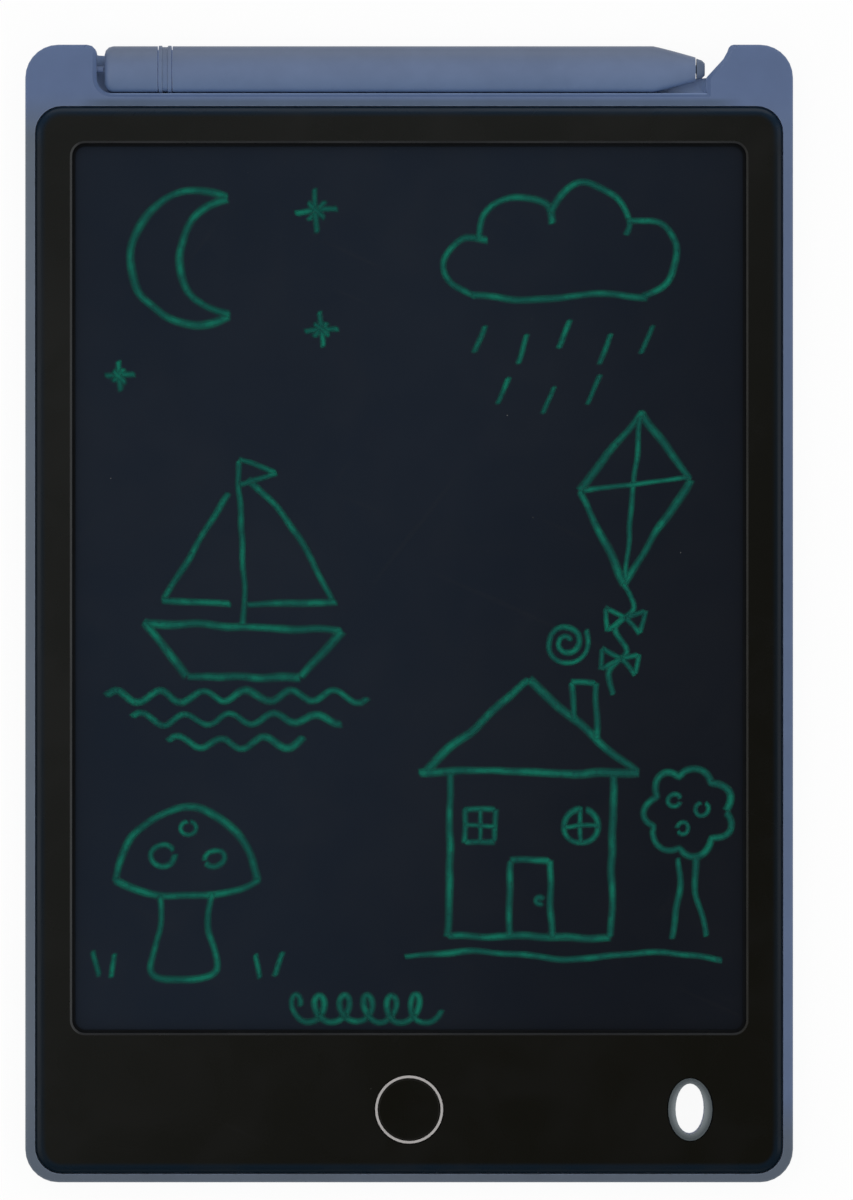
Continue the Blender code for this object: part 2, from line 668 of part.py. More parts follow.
def add_cell_bay(shell):
    """The round bay for the coin cell, open to the back, with the seat of its cover."""
    wall = BAY_RADIUS + BAY_WALL
    collar_seat = COLLAR_RADIUS + COVER_GAP
    fuse(shell, "bay_pad", prism(cover_outline(BAY_PAD_MARGIN), FLOOR - RIB_SINK, FLOOR + BAY_PAD))
    fuse(shell, "bay_wall", drum(CELL_X, CELL_Y, wall, FLOOR - RIB_SINK, BAY_TOP + BAY_CEILING,
                                 FINE_STEPS))
    fuse(shell, "cover_boss", drum(COVER_SCREW_X, CELL_Y, collar_seat + COVER_BOSS_WALL,
                                   FLOOR - RIB_SINK, BAY_TOP + BAY_CEILING))
    cut(shell, "bay", drum(CELL_X, CELL_Y, BAY_RADIUS, -OVERRUN, BAY_TOP, FINE_STEPS))
    cut(shell, "cover_seat", prism(cover_outline(COVER_GAP), -OVERRUN, COVER_TOP + COVER_GAP))
    cut(shell, "collar_seat", drum(COVER_SCREW_X, CELL_Y, collar_seat, COVER_TOP,
                                   COVER_TOP + COLLAR_RISE + COVER_GAP))
    tongue_half = TONGUE_WIDTH / 2 + COVER_GAP
    tongue_low = COVER_TOP - TONGUE_THICKNESS - COVER_GAP
    cut(shell, "tongue", block(COVER_RIGHT - COVER_GAP, COVER_RIGHT + TONGUE_LENGTH + COVER_GAP,
                               CELL_Y - tongue_half, CELL_Y + tongue_half, tongue_low,
                               COVER_TOP + COVER_GAP))
    pilot = SCREW_SHANK_RADIUS + SCREW_HOLE_GAP
    pilot_top = cover_screw_base() + SCREW_HEAD_HEIGHT + COVER_SCREW_LENGTH + SCREW_HOLE_GAP
    cut(shell, "cover_pilot", drum(COVER_SCREW_X, CELL_Y, pilot, COVER_TOP, pilot_top))
    slot_half = CONTACT_WIDTH / 2 + CELL_GAP
    cut(shell, "upper_contact", block(CELL_X, CELL_X + wall + OVERRUN, CONTACT_Y - slot_half,
                                      CONTACT_Y + slot_half, CELL_TOP, BAY_TOP))
    side_slot = block(CELL_RADIUS, wall + OVERRUN, -slot_half, slot_half, CELL_BASE + CELL_GAP, BAY_TOP)
    side_slot.transform(side_contact_frame())
    cut(shell, "side_contact", side_slot)


def add_board_bosses(shell):
    """The two low bosses that the circuit board is screwed to."""
    for side, (x, y) in BOARD_SCREWS.items():
        top = BOARD_UNDER - STACK_GAP
        fuse(shell, f"board_boss_{side}", drum(x, y, BOARD_BOSS_RADIUS, FLOOR - RIB_SINK, top))
        tip = board_screw_tip() - STACK_GAP
        pilot = SCREW_SHANK_RADIUS + SCREW_HOLE_GAP
        cut(shell, f"board_pilot_{side}", drum(x, y, pilot, tip, top + OVERRUN))


def add_lanyard_boss(shell):
    """The oval tube round the lanyard hole, which shows in the bezel, with its flared mouth."""
    fuse(shell, "lanyard_boss", prism(lanyard_outline(LANYARD_WALL), FLOOR - RIB_SINK, BEZEL_TOP))
    flare_base = BEZEL_TOP - LANYARD_FLARE_DEPTH
    levels = [(-OVERRUN, 0), (flare_base, 0), (BEZEL_TOP, LANYARD_FLARE),
              (BEZEL_TOP + OVERRUN, LANYARD_FLARE)]
    cut(shell, "lanyard_hole", flared(lanyard_outline, levels))


def cut_lock_opening(shell):
    """The shallow recess in the back and the slot that the lock knob slides in."""
    half_travel = LOCK_TRAVEL / 2
    slot_half = half_travel + KNOB_LENGTH / 2 + LOCK_GAP
    slot_side = KNOB_WIDTH / 2 + LOCK_GAP
    recess_half = slot_half + LOCK_RECESS_MARGIN
    recess_side = slot_side + LOCK_RECESS_MARGIN
    recess = rounded(LOCK_X - recess_half, LOCK_X + recess_half, BUTTON_Y - recess_side,
                     BUTTON_Y + recess_side, LOCK_RECESS_MARGIN)
    cut(shell, "lock_recess", prism(recess, -OVERRUN, LOCK_RECESS_DEPTH))
    cut(shell, "lock_slot", block(LOCK_X - slot_half, LOCK_X + slot_half, BUTTON_Y - slot_side,
                                  BUTTON_Y + slot_side, -OVERRUN, FLOOR + OVERRUN))


def bezel_outline(grow=0):
    """The bezel in plan."""
    return rounded(-BEZEL_SIDE - grow, BEZEL_SIDE + grow, BEZEL_BOTTOM - grow, BEZEL_END + grow,
                   BEZEL_RADIUS + grow)


def window_outline(grow=0):
    """The window in plan."""
    return rounded(-WINDOW_SIDE - grow, WINDOW_SIDE + grow, WINDOW_BOTTOM - grow, WINDOW_TOP + grow,
                   WINDOW_RADIUS + grow)


def make_front_bezel():
    """The black front frame with a crowned edge, its window, its two holes and its tabs."""
    levels = [(BEZEL_UNDER, 0)]
    for i in range(CORNER_STEPS + 1):
        share = i / CORNER_STEPS
        height = BEZEL_TOP - BEZEL_EDGE_HEIGHT * (1 - share) ** BEZEL_EDGE_POWER
        levels.append((height, -BEZEL_EDGE_WIDTH * share))
    bezel = part("front_bezel", flared(bezel_outline, levels), "black_gloss")

    window_levels = [(BEZEL_UNDER - OVERRUN, 0), (BEZEL_TOP - WINDOW_CHAMFER, 0),
                     (BEZEL_TOP, WINDOW_CHAMFER), (BEZEL_TOP + OVERRUN, WINDOW_CHAMFER)]
    cut(bezel, "window", flared(window_outline, window_levels))
    hole = BUTTON_RADIUS + RING_WIDTH + 2 * RING_GAP
    cut(bezel, "button_hole", drum(0, BUTTON_Y, hole, BEZEL_UNDER - OVERRUN, BEZEL_TOP + OVERRUN,
                                   FINE_STEPS))
    cut(bezel, "lanyard_hole", prism(lanyard_outline(LANYARD_WALL + BEZEL_GAP),
                                     BEZEL_UNDER - OVERRUN, BEZEL_TOP + OVERRUN))
    outer = BAY_SIDE - BEZEL_GAP
    pitch = (WINDOW_TOP - WINDOW_BOTTOM) / TAB_COUNT
    start = WINDOW_BOTTOM + (pitch - TAB_LENGTH) / 2
    for name, left in (("left_tabs", -outer), ("right_tabs", outer - TAB_THICKNESS)):
        tab = block(left, left + TAB_THICKNESS, start, start + TAB_LENGTH, BEZEL_UNDER - TAB_DEPTH,
                    BEZEL_UNDER + BEZEL_THICKNESS / 2)
        repeat(fuse(bezel, name, tab), TAB_COUNT, (0, pitch, 0))


def make_window_stack():
    """The tape frame, the writing film and the backing plate under the window."""
    side = WINDOW_SIDE + FILM_MARGIN
    low = WINDOW_BOTTOM - FILM_MARGIN
    high = WINDOW_TOP + FILM_MARGIN
    sheet = rounded(-side, side, low, high, FILM_RADIUS)
    tape = part("film_tape", prism(sheet, TAPE_TOP - TAPE_THICKNESS, TAPE_TOP), "black_sheet")
    opening = window_outline(-TAPE_SHOW)
    cut(tape, "opening", prism(opening, TAPE_TOP - TAPE_THICKNESS - OVERRUN, TAPE_TOP + OVERRUN))
    part("writing_film", prism(sheet, FILM_UNDER, FILM_TOP), "film")
    backing = rounded(-side, side, low + BACKING_SETBACK, high, FILM_RADIUS)
    part("backing_plate", prism(backing, BACKING_TOP - BACKING_THICKNESS, BACKING_TOP), "black_sheet")


def make_film_tail():
    """The flexible tail that joins the film to the circuit board."""
    half = TAIL_THICKNESS / 2
    high = FILM_UNDER - STACK_GAP + half - TAIL_THICKNESS
    low = PART_BASE + half
    start = WINDOW_BOTTOM - FILM_MARGIN + TAIL_BOND
    drop_start = WINDOW_BOTTOM - FILM_MARGIN - STACK_GAP
    foot_end = BUTTON_Y + BOARD_DEPTH / 2 - TAIL_FOOT
    drop_end = BUTTON_Y + BOARD_DEPTH / 2
    path = [(0, start, high), (0, drop_start, high)]
    for i in range(1, CORNER_STEPS):
        share = i / CORNER_STEPS
        ease = (1 + math.cos(math.pi * share)) / 2
        path.append((0, drop_start + (drop_end - drop_start) * share, low + (high - low) * ease))
    path += [(0, drop_end, low), (0, foot_end, low)]
    bent_strip("film_tail", path, (1, 0, 0), TAIL_WIDTH, TAIL_THICKNESS, "flex_amber")


def make_circuit_board():
    """The board, with its two screw holes and the opening that the lock slider moves in."""
    low = BUTTON_Y - BOARD_DEPTH / 2
    outline = rounded(BOARD_LEFT, BOARD_RIGHT, low, low + BOARD_DEPTH, BOARD_RADIUS)
    board = part("circuit_board", prism(outline, BOARD_UNDER, BOARD_TOP), "board_green")
    half = lock_notch_half()
    side = LOCK_FLANGE_WIDTH / 2 + LOCK_GAP
    cut(board, "lock_notch", block(LOCK_X - half, LOCK_X + half, BUTTON_Y - side, BUTTON_Y + side,
                                   BOARD_UNDER - OVERRUN, BOARD_TOP + OVERRUN))
    for name, (x, y) in BOARD_SCREWS.items():
        hole = SCREW_SHANK_RADIUS + SCREW_HOLE_GAP
        cut(board, f"screw_{name}", drum(x, y, hole, BOARD_UNDER - OVERRUN, BOARD_TOP + OVERRUN))


def make_chip():
    """The small driver chip with four legs on each long side."""
    x = CHIP_X
    y = BUTTON_Y + CHIP_SHIFT
    leg_top = PART_BASE + LEG_HEIGHT
    body = block(x - CHIP_WIDTH / 2, x + CHIP_WIDTH / 2, y - CHIP_DEPTH / 2, y + CHIP_DEPTH / 2,
                 PART_BASE + LEG_HEIGHT / 2, PART_BASE + CHIP_HEIGHT)
    soften(body, PART_BASE + CHIP_HEIGHT, CHIP_EDGE, 1)
    chip = part("drive_chip", body, "component_black")
    first = x - LEG_PITCH * (LEG_COUNT - 1) / 2 - LEG_WIDTH / 2
    reach = CHIP_DEPTH / 2 + LEG_REACH
    inner = CHIP_DEPTH / 2 - LEG_REACH
    for name, near, far in (("front", y - reach, y - inner), ("back", y + inner, y + reach)):
        leg = block(first, first + LEG_WIDTH, near, far, PART_BASE, leg_top)
        repeat(fuse(chip, f"legs_{name}", leg), LEG_COUNT, (LEG_PITCH, 0, 0))


def make_inductor():
    """The drum-core coil of the voltage booster."""
    top = INDUCTOR_HEIGHT
    waist = INDUCTOR_RADIUS - INDUCTOR_WAIST
    profile = [(0, top), (INDUCTOR_RADIUS, top), (INDUCTOR_RADIUS, top - INDUCTOR_FLANGE),
               (waist, top - INDUCTOR_FLANGE), (waist, INDUCTOR_FLANGE),
               (INDUCTOR_RADIUS, INDUCTOR_FLANGE), (INDUCTOR_RADIUS, 0), (0, 0)]
    turned("boost_inductor", profile, (INDUCTOR_X, BUTTON_Y + INDUCTOR_SHIFT, PART_BASE), "ferrite")


def make_capacitors():
    """The two block capacitors beside the chip and the coil."""
    y = BUTTON_Y - CAPACITOR_SHIFT
    for name, x in (("capacitor_left", CHIP_X), ("capacitor_right", INDUCTOR_X)):
        top = PART_BASE + CAPACITOR_HEIGHT
        shape = block(x - CAPACITOR_LENGTH / 2, x + CAPACITOR_LENGTH / 2, y - CAPACITOR_WIDTH / 2,
                      y + CAPACITOR_WIDTH / 2, PART_BASE, top)
        soften(shape, top, CAPACITOR_EDGE, 1)
        part(name, shape, "ceramic")


def switch_top():
    """The top of the push switch's case."""
    return PART_BASE + SWITCH_HEIGHT


def plunger_base():
    """The foot of the plunger at rest, which stays clear of the case floor when pressed."""
    return PART_BASE + SWITCH_FLOOR + PLUNGER_END_GAP + BUTTON_TRAVEL


def button_flange_base():
    """The underside of the button's flange, which stays clear of the bezel above."""
    return BEZEL_UNDER - BEZEL_GAP - BUTTON_FLANGE_THICKNESS


def make_push_switch():
    """The push switch under the erase button: its case and its plunger."""
    half = SWITCH_SIZE / 2
    case = part("push_switch_case", block(-half, half, BUTTON_Y - half, BUTTON_Y + half, PART_BASE,
                                          switch_top()), "component_black")
    cut(case, "well", drum(0, BUTTON_Y, PLUNGER_RADIUS + PLUNGER_GAP, PART_BASE + SWITCH_FLOOR,
                           switch_top() + OVERRUN))
    height = button_flange_base() - STACK_GAP - plunger_base()
    profile = [(0, height), (PLUNGER_RADIUS, height), (PLUNGER_RADIUS, 0), (0, 0)]
    turned("push_switch_plunger", profile, (0, BUTTON_Y, plunger_base()), "ceramic")


def make_erase_button():
    """The round cap, dished on top, with the flange that holds it under the bezel, and its trim ring."""
    base = button_flange_base()
    top = BEZEL_TOP - base
    ring_inner = BUTTON_RADIUS + RING_GAP
    ring_outer = ring_inner + RING_WIDTH
    seat = top - RING_THICKNESS - RING_GAP
    edge = BUTTON_DISH
    crown = BUTTON_RADIUS - edge
    profile = []
    for i in range(CORNER_STEPS + 1):
        share = i / CORNER_STEPS
        profile.append((crown * share, top - BUTTON_DISH * (1 - share ** 2)))
    profile += [(BUTTON_RADIUS, top - edge), (BUTTON_RADIUS, seat), (ring_outer, seat),
                (ring_outer, BUTTON_FLANGE_THICKNESS), (BUTTON_FLANGE_RADIUS, BUTTON_FLANGE_THICKNESS),
                (BUTTON_FLANGE_RADIUS, 0), (0, 0)]
    turned("erase_button", profile, (0, BUTTON_Y, base), "black_gloss", FINE_STEPS)
    ring_base = BEZEL_TOP - RING_THICKNESS
    rim = RING_EDGE
    ring = [(ring_inner, 0), (ring_inner, RING_THICKNESS - rim), (ring_inner + rim, RING_THICKNESS),
            (ring_outer - rim, RING_THICKNESS), (ring_outer, RING_THICKNESS - rim), (ring_outer, 0),
            (ring_inner, 0)]
    turned("button_ring", ring, (0, BUTTON_Y, ring_base), "silver", FINE_STEPS)


def make_coin_cell():
    """The coin cell, its smaller pole towards the front."""
    can = CELL_THICKNESS - CELL_STEP
    cap = CELL_RADIUS - CELL_CAP_INSET
    profile = [(0, CELL_THICKNESS), (cap, CELL_THICKNESS), (cap, can), (CELL_RADIUS - CELL_EDGE, can),
               (CELL_RADIUS, can - CELL_EDGE), (CELL_RADIUS, CELL_EDGE), (CELL_RADIUS - CELL_EDGE, 0),
               (0, 0)]
    turned("coin_cell", profile, (CELL_X, CELL_Y, CELL_BASE), "steel", FINE_STEPS)


def make_contacts():
    """The upper contact leaf over the cell, and the side contact on its can."""
    half = CONTACT_THICKNESS / 2
    y = CONTACT_Y
    high = CONTACT_BASE + half
    low = PART_BASE + half
    wall = CELL_X + BAY_RADIUS + BAY_WALL
    path = [(wall - CONTACT_REACH, y, high), (wall, y, high), (BOARD_LEFT + CELL_GAP, y, low),
            (BOARD_LEFT + CELL_GAP + CONTACT_FOOT, y, low)]
    bent_strip("battery_contact_upper", path, (0, 1, 0), CONTACT_WIDTH, CONTACT_THICKNESS, "brass")
    plate = CELL_RADIUS + STACK_GAP + half
    reach = (BOARD_LEFT - CELL_X) / math.cos(SIDE_CONTACT_ANGLE) + CONTACT_FOOT
    frame = side_contact_frame()
    corners = [(plate, 0, CELL_BASE + 2 * CELL_GAP), (plate, 0, low), (reach, 0, low)]
    side_path = [tuple(frame @ Vector(corner)) for corner in corners]
    side = tuple(frame.to_3x3() @ Vector((0, 1, 0)))
    bent_strip("battery_contact_side", side_path, side, CONTACT_WIDTH, CONTACT_THICKNESS, "brass")


def cover_screw_base():
    """The outer face of the battery cover's screw head, sunk a little into the cover."""
    return COVER_DROP + SCREW_SINK


def make_battery_cover():
    """The cover plate with its tongue and the collar that its screw sits in."""
    plate = prism(cover_outline(), COVER_DROP, COVER_TOP)
    cover = part("battery_cover", plate, "slate_plastic")
    tongue = block(COVER_RIGHT - TONGUE_LENGTH, COVER_RIGHT + TONGUE_LENGTH - COVER_GAP,
                   CELL_Y - TONGUE_WIDTH / 2, CELL_Y + TONGUE_WIDTH / 2,
                   COVER_TOP - TONGUE_THICKNESS, COVER_TOP)
    fuse(cover, "tongue", tongue)
    collar_top = COVER_TOP + COLLAR_RISE
    fuse(cover, "collar", drum(COVER_SCREW_X, CELL_Y, COLLAR_RADIUS, COVER_TOP - COVER_THICKNESS / 2,
                               collar_top))
    shank = SCREW_SHANK_RADIUS + SCREW_HOLE_GAP
    cut(cover, "screw_hole", drum(COVER_SCREW_X, CELL_Y, shank, -OVERRUN, collar_top + OVERRUN))
    head = SCREW_HEAD_RADIUS + SCREW_HOLE_GAP
    seat = cover_screw_base() + SCREW_HEAD_HEIGHT + STACK_GAP
    cut(cover, "screw_seat", drum(COVER_SCREW_X, CELL_Y, head, -OVERRUN, seat))


def board_screw_tip():
    """The lowest point of a board screw."""
    return BOARD_TOP + STACK_GAP - BOARD_SCREW_LENGTH


def make_screw(name, x, y, head_base, length, turn_over):
    """A pan-head screw with a crossed recess, its head up or, turned over, down."""
    top = length + SCREW_HEAD_HEIGHT
    crown = SCREW_CROWN
    tip = SCREW_TIP_RADIUS
    profile = [(0, top), (SCREW_HEAD_RADIUS - crown, top), (SCREW_HEAD_RADIUS, top - crown),
               (SCREW_HEAD_RADIUS, length), (SCREW_SHANK_RADIUS, length), (SCREW_SHANK_RADIUS, tip),
               (tip, 0), (0, 0)]
    base = head_base + top if turn_over else head_base - length
    screw = turned(name, profile, (x, y, base), "steel", CORNER_STEPS * 2)
    screw.rotation_euler = (math.pi if turn_over else 0, 0, 0)
    face = head_base if turn_over else base + top
    inward = SCREW_RECESS_DEPTH if turn_over else -SCREW_RECESS_DEPTH
    outward = -OVERRUN if turn_over else OVERRUN
    low, high = sorted((face + inward, face + outward))
    for index, (wide, deep) in enumerate(((SCREW_RECESS_LENGTH, SCREW_RECESS_WIDTH),
                                          (SCREW_RECESS_WIDTH, SCREW_RECESS_LENGTH))):
        bar = block(x - wide / 2, x + wide / 2, y - deep / 2, y + deep / 2, low, high)
        cut(screw, f"recess_{index}", bar)


def make_screws():
    """The cover's screw and the board's two."""
    make_screw("battery_cover_screw", COVER_SCREW_X, CELL_Y, cover_screw_base(), COVER_SCREW_LENGTH, True)
    for side, (x, y) in BOARD_SCREWS.items():
        make_screw(f"board_screw_{side}", x, y, BOARD_TOP + STACK_GAP, BOARD_SCREW_LENGTH, False)


def lock_notch_half():
    """Half the length of the board's opening round the lock slider."""
    return LOCK_TRAVEL / 2 + LOCK_FLANGE_LENGTH / 2 + LOCK_GAP


def make_lock():
    """The lock slider, whose knob shows in the back, and the slide switch that it works."""
    x = LOCK_X - LOCK_TRAVEL / 2
    flange_base = FLOOR + LOCK_GAP
    flange_top = flange_base + LOCK_FLANGE_THICKNESS
    knob = block(x - KNOB_LENGTH / 2, x + KNOB_LENGTH / 2, BUTTON_Y - KNOB_WIDTH / 2,
                 BUTTON_Y + KNOB_WIDTH / 2, KNOB_DROP, flange_top - LOCK_FLANGE_THICKNESS / 2)
    slider = part("lock_slider", knob, "component_black")
    half = LOCK_FLANGE_LENGTH / 2
    fuse(slider, "flange", block(x - half, x + half, BUTTON_Y - LOCK_FLANGE_WIDTH / 2,
                                 BUTTON_Y + LOCK_FLANGE_WIDTH / 2, flange_base, flange_top))
    pin = LOCK_PIN_SIZE / 2
    fuse(slider, "pin", block(x - pin, x + pin, BUTTON_Y - pin, BUTTON_Y + pin,
                              flange_base + LOCK_FLANGE_THICKNESS / 2, flange_top + LOCK_PIN_HEIGHT))
    pitch = KNOB_LENGTH / (KNOB_RIBS + 1)
    groove = block(x - KNOB_LENGTH / 2 + pitch - KNOB_RIB / 2, x - KNOB_LENGTH / 2 + pitch + KNOB_RIB / 2,
                   BUTTON_Y - KNOB_WIDTH, BUTTON_Y + KNOB_WIDTH, KNOB_DROP - OVERRUN,
                   KNOB_DROP + KNOB_RIB_DEPTH)
    repeat(cut(slider, "grooves", groove), KNOB_RIBS, (pitch, 0, 0))
    side = LOCK_FLANGE_WIDTH / 2 + LOCK_GAP + LOCK_SWITCH_LAP
    half_case = LOCK_SWITCH_LENGTH / 2
    top = PART_BASE + LOCK_SWITCH_HEIGHT
    case = part("lock_switch_case", block(LOCK_X - half_case, LOCK_X + half_case, BUTTON_Y - side,
                                          BUTTON_Y + side, PART_BASE, top), "steel")
    groove_half = LOCK_TRAVEL / 2 + pin + LOCK_GAP
    groove_side = pin + LOCK_GAP
    cut(case, "groove", block(LOCK_X - groove_half, LOCK_X + groove_half, BUTTON_Y - groove_side,
                              BUTTON_Y + groove_side, PART_BASE - OVERRUN,
                              flange_top + LOCK_PIN_HEIGHT + LOCK_GAP))


def pen_section(x, width, height, squareness):
    """One section of the stylus: a rounded oval across its length."""
    points = []
    for i in range(SECTION_POINTS):
        turn = 2 * math.pi * i / SECTION_POINTS
        c = math.cos(turn)
        s = math.sin(turn)
        y = width / 2 * math.copysign(abs(c) ** (2 / squareness), c)
        z = height / 2 * math.copysign(abs(s) ** (2 / squareness), s)
        points.append((x, STYLUS_Y + y, STYLUS_Z + z))
    return points


def full_section(x, grow=0):
    """A section of the stylus's straight run, grown by an amount all round."""
    return pen_section(x, STYLUS_WIDTH + 2 * grow, STYLUS_HEIGHT + 2 * grow, STYLUS_SQUARENESS)


def spigot_section(x, gap=0):
    """A section of the spigot that joins barrel, band and end cap, or of the socket round it."""
    return pen_section(x, SPIGOT_WIDTH + 2 * gap, SPIGOT_HEIGHT + 2 * gap, STYLUS_SQUARENESS)


def make_stylus_end_cap():
    """The blunt end of the stylus, with a chamfer round its end and a socket."""
    start = STYLUS_START
    end = start + END_CAP_LENGTH
    sections = []
    for i in range(EDGE_STEPS + 1):
        turn = math.pi / 2 * i / EDGE_STEPS
        x = start + END_CAP_CHAMFER * (1 - math.cos(turn))
        sections.append(full_section(x, -END_CAP_CHAMFER * (1 - math.sin(turn))))
    sections.append(full_section(end))
    cap = part("stylus_end_cap", loft(sections), "slate_plastic")
    socket_start = end + JOIN_GAP + BAND_LENGTH - SPIGOT_LENGTH
    socket = [spigot_section(x, JOIN_GAP) for x in (socket_start, end + OVERRUN)]
    cut(cap, "socket", loft(socket))


def band_start():
    """Where the ringed band of the stylus starts."""
    return STYLUS_START + END_CAP_LENGTH + JOIN_GAP


def make_stylus_band():
    """The band with two ridges and a groove between them."""
    start = band_start()
    groove = BAND_GROOVE_WIDTH
    ridge = (BAND_LENGTH - groove) / 2
    stations = [(0, 0), (BAND_RIDGE, BAND_RIDGE), (ridge - BAND_RIDGE, BAND_RIDGE), (ridge, -BAND_GROOVE),
                (ridge + groove, -BAND_GROOVE), (ridge + groove + BAND_RIDGE, BAND_RIDGE),
                (BAND_LENGTH - BAND_RIDGE, BAND_RIDGE), (BAND_LENGTH, 0)]
    sections = [full_section(start + x, grow) for x, grow in stations]
    band = part("stylus_band", loft(sections), "slate_plastic")
    hole = [spigot_section(start + x, JOIN_GAP) for x in (-OVERRUN, BAND_LENGTH + OVERRUN)]
    cut(band, "hole", loft(hole))


def make_stylus_barrel():
    """The long barrel: a straight run, a taper to the tip, and the spigot at its blunt end."""
    start = band_start() + BAND_LENGTH + JOIN_GAP
    end = STYLUS_END - TIP_LENGTH - JOIN_GAP
    taper_start = end - TAPER_LENGTH
    sections = [full_section(start), full_section(taper_start)]
    for i in range(1, CORNER_STEPS + 1):
        share = i / CORNER_STEPS
        fall = share ** TAPER_POWER
        width = STYLUS_WIDTH + (TAPER_END_WIDTH - STYLUS_WIDTH) * fall
        height = STYLUS_HEIGHT + (TAPER_END_HEIGHT - STYLUS_HEIGHT) * fall
        squareness = STYLUS_SQUARENESS + (2 - STYLUS_SQUARENESS) * share
        sections.append(pen_section(taper_start + TAPER_LENGTH * share, width, height, squareness))
    barrel = part("stylus_barrel", loft(sections), "slate_plastic")
    spigot_end = start - SPIGOT_LENGTH
    fuse(barrel, "spigot", loft([spigot_section(spigot_end), spigot_section(start + OVERRUN)]))
    bore = [pen_section(x, BARREL_BORE_WIDTH, BARREL_BORE_HEIGHT, 2)
            for x in (spigot_end - OVERRUN, taper_start)]
    cut(barrel, "bore", loft(bore))
    hole = 2 * (TIP_STEM_RADIUS + JOIN_GAP)
    depth = TIP_STEM_LENGTH + JOIN_GAP
    tip_hole = [pen_section(x, hole, hole, 2) for x in (end - depth, end + OVERRUN)]
    cut(barrel, "tip_hole", loft(tip_hole))


def make_stylus_tip():
    """The nib, with the stem that is pressed into the barrel."""
    rounding = TIP_NOSE_ROUNDING
    profile = [(0, TIP_LENGTH), (TIP_NOSE_RADIUS - rounding, TIP_LENGTH),
               (TIP_NOSE_RADIUS, TIP_LENGTH - rounding), (TIP_RADIUS, 0), (TIP_STEM_RADIUS, 0),
               (TIP_STEM_RADIUS, -TIP_STEM_LENGTH), (0, -TIP_STEM_LENGTH)]
    place = (STYLUS_END - TIP_LENGTH, STYLUS_Y, STYLUS_Z)
    tip = turned("stylus_tip", profile, place, "slate_plastic", ROUND_STEPS)
    tip.rotation_euler = (0, math.pi / 2, 0)


def make_tablet():
    """Makes every piece of the tablet."""
    make_rear_shell()
    make_front_bezel()
    make_window_stack()
    make_film_tail()
    make_circuit_board()
    make_chip()
    make_inductor()
    make_capacitors()
    make_push_switch()
    make_erase_button()
    make_coin_cell()
    make_contacts()
    make_battery_cover()
    make_screws()
    make_lock()
    make_stylus_end_cap()
    make_stylus_band()
    make_stylus_barrel()
    make_stylus_tip()


empty_scene()
PARTS = collection("lcd_writing_tablet")
CUTTERS = collection("cutters")
make_tablet()
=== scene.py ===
"""Looks of the writing tablet: the finish of each piece, the drawing on its film, and the stage.

Lengths are in metres, in the frame of the packed model. X runs across the tablet, Y runs up towards the
stylus and Z out of the film.
"""

import math

import bmesh
import bpy
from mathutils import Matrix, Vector, noise


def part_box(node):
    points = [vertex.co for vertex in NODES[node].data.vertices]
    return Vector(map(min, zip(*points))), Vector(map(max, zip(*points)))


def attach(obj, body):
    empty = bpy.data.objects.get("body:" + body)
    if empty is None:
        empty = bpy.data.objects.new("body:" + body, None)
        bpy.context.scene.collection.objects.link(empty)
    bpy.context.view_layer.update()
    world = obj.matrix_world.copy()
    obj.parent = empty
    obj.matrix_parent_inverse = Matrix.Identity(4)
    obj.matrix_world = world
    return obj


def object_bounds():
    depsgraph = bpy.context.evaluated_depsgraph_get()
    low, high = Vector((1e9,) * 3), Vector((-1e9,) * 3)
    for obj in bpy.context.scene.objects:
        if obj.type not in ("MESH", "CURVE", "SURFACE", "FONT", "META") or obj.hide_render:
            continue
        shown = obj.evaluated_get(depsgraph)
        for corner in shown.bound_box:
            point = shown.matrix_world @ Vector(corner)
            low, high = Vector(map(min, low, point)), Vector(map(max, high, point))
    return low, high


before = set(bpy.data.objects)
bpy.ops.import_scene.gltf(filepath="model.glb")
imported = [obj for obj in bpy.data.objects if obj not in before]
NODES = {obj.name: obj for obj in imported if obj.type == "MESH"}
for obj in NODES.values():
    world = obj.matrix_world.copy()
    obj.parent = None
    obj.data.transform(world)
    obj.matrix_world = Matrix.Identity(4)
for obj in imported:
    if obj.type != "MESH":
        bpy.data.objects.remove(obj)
CAD_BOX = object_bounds()

bl_info = {
    "name": "LCD writing tablet",
    "version": (1, 0, 0),
    "blender": (4, 5, 0),
    "location": "View3D > Sidebar > Writing tablet",
    "description": "Finishes the writing tablet's pieces, draws on its film and sets its stage",
    "category": "Object",
}

MM = 0.001

# Where things are on the tablet
BEZEL_LOW, BEZEL_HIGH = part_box("front_bezel")
SHELL_LOW, SHELL_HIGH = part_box("rear_shell")
BARREL_LOW, BARREL_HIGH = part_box("stylus_barrel")
FILM_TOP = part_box("writing_film")[1].z
TAPE_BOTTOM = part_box("film_tape")[0].z
BEZEL_CORNER = 5.0 * MM
LANYARD_CENTRE = (54.4 * MM, -96.0 * MM)
LANYARD_HALF = (2.8 * MM, 4.95 * MM)
LANYARD_RIM = (1.6 * MM, 1.25 * MM)

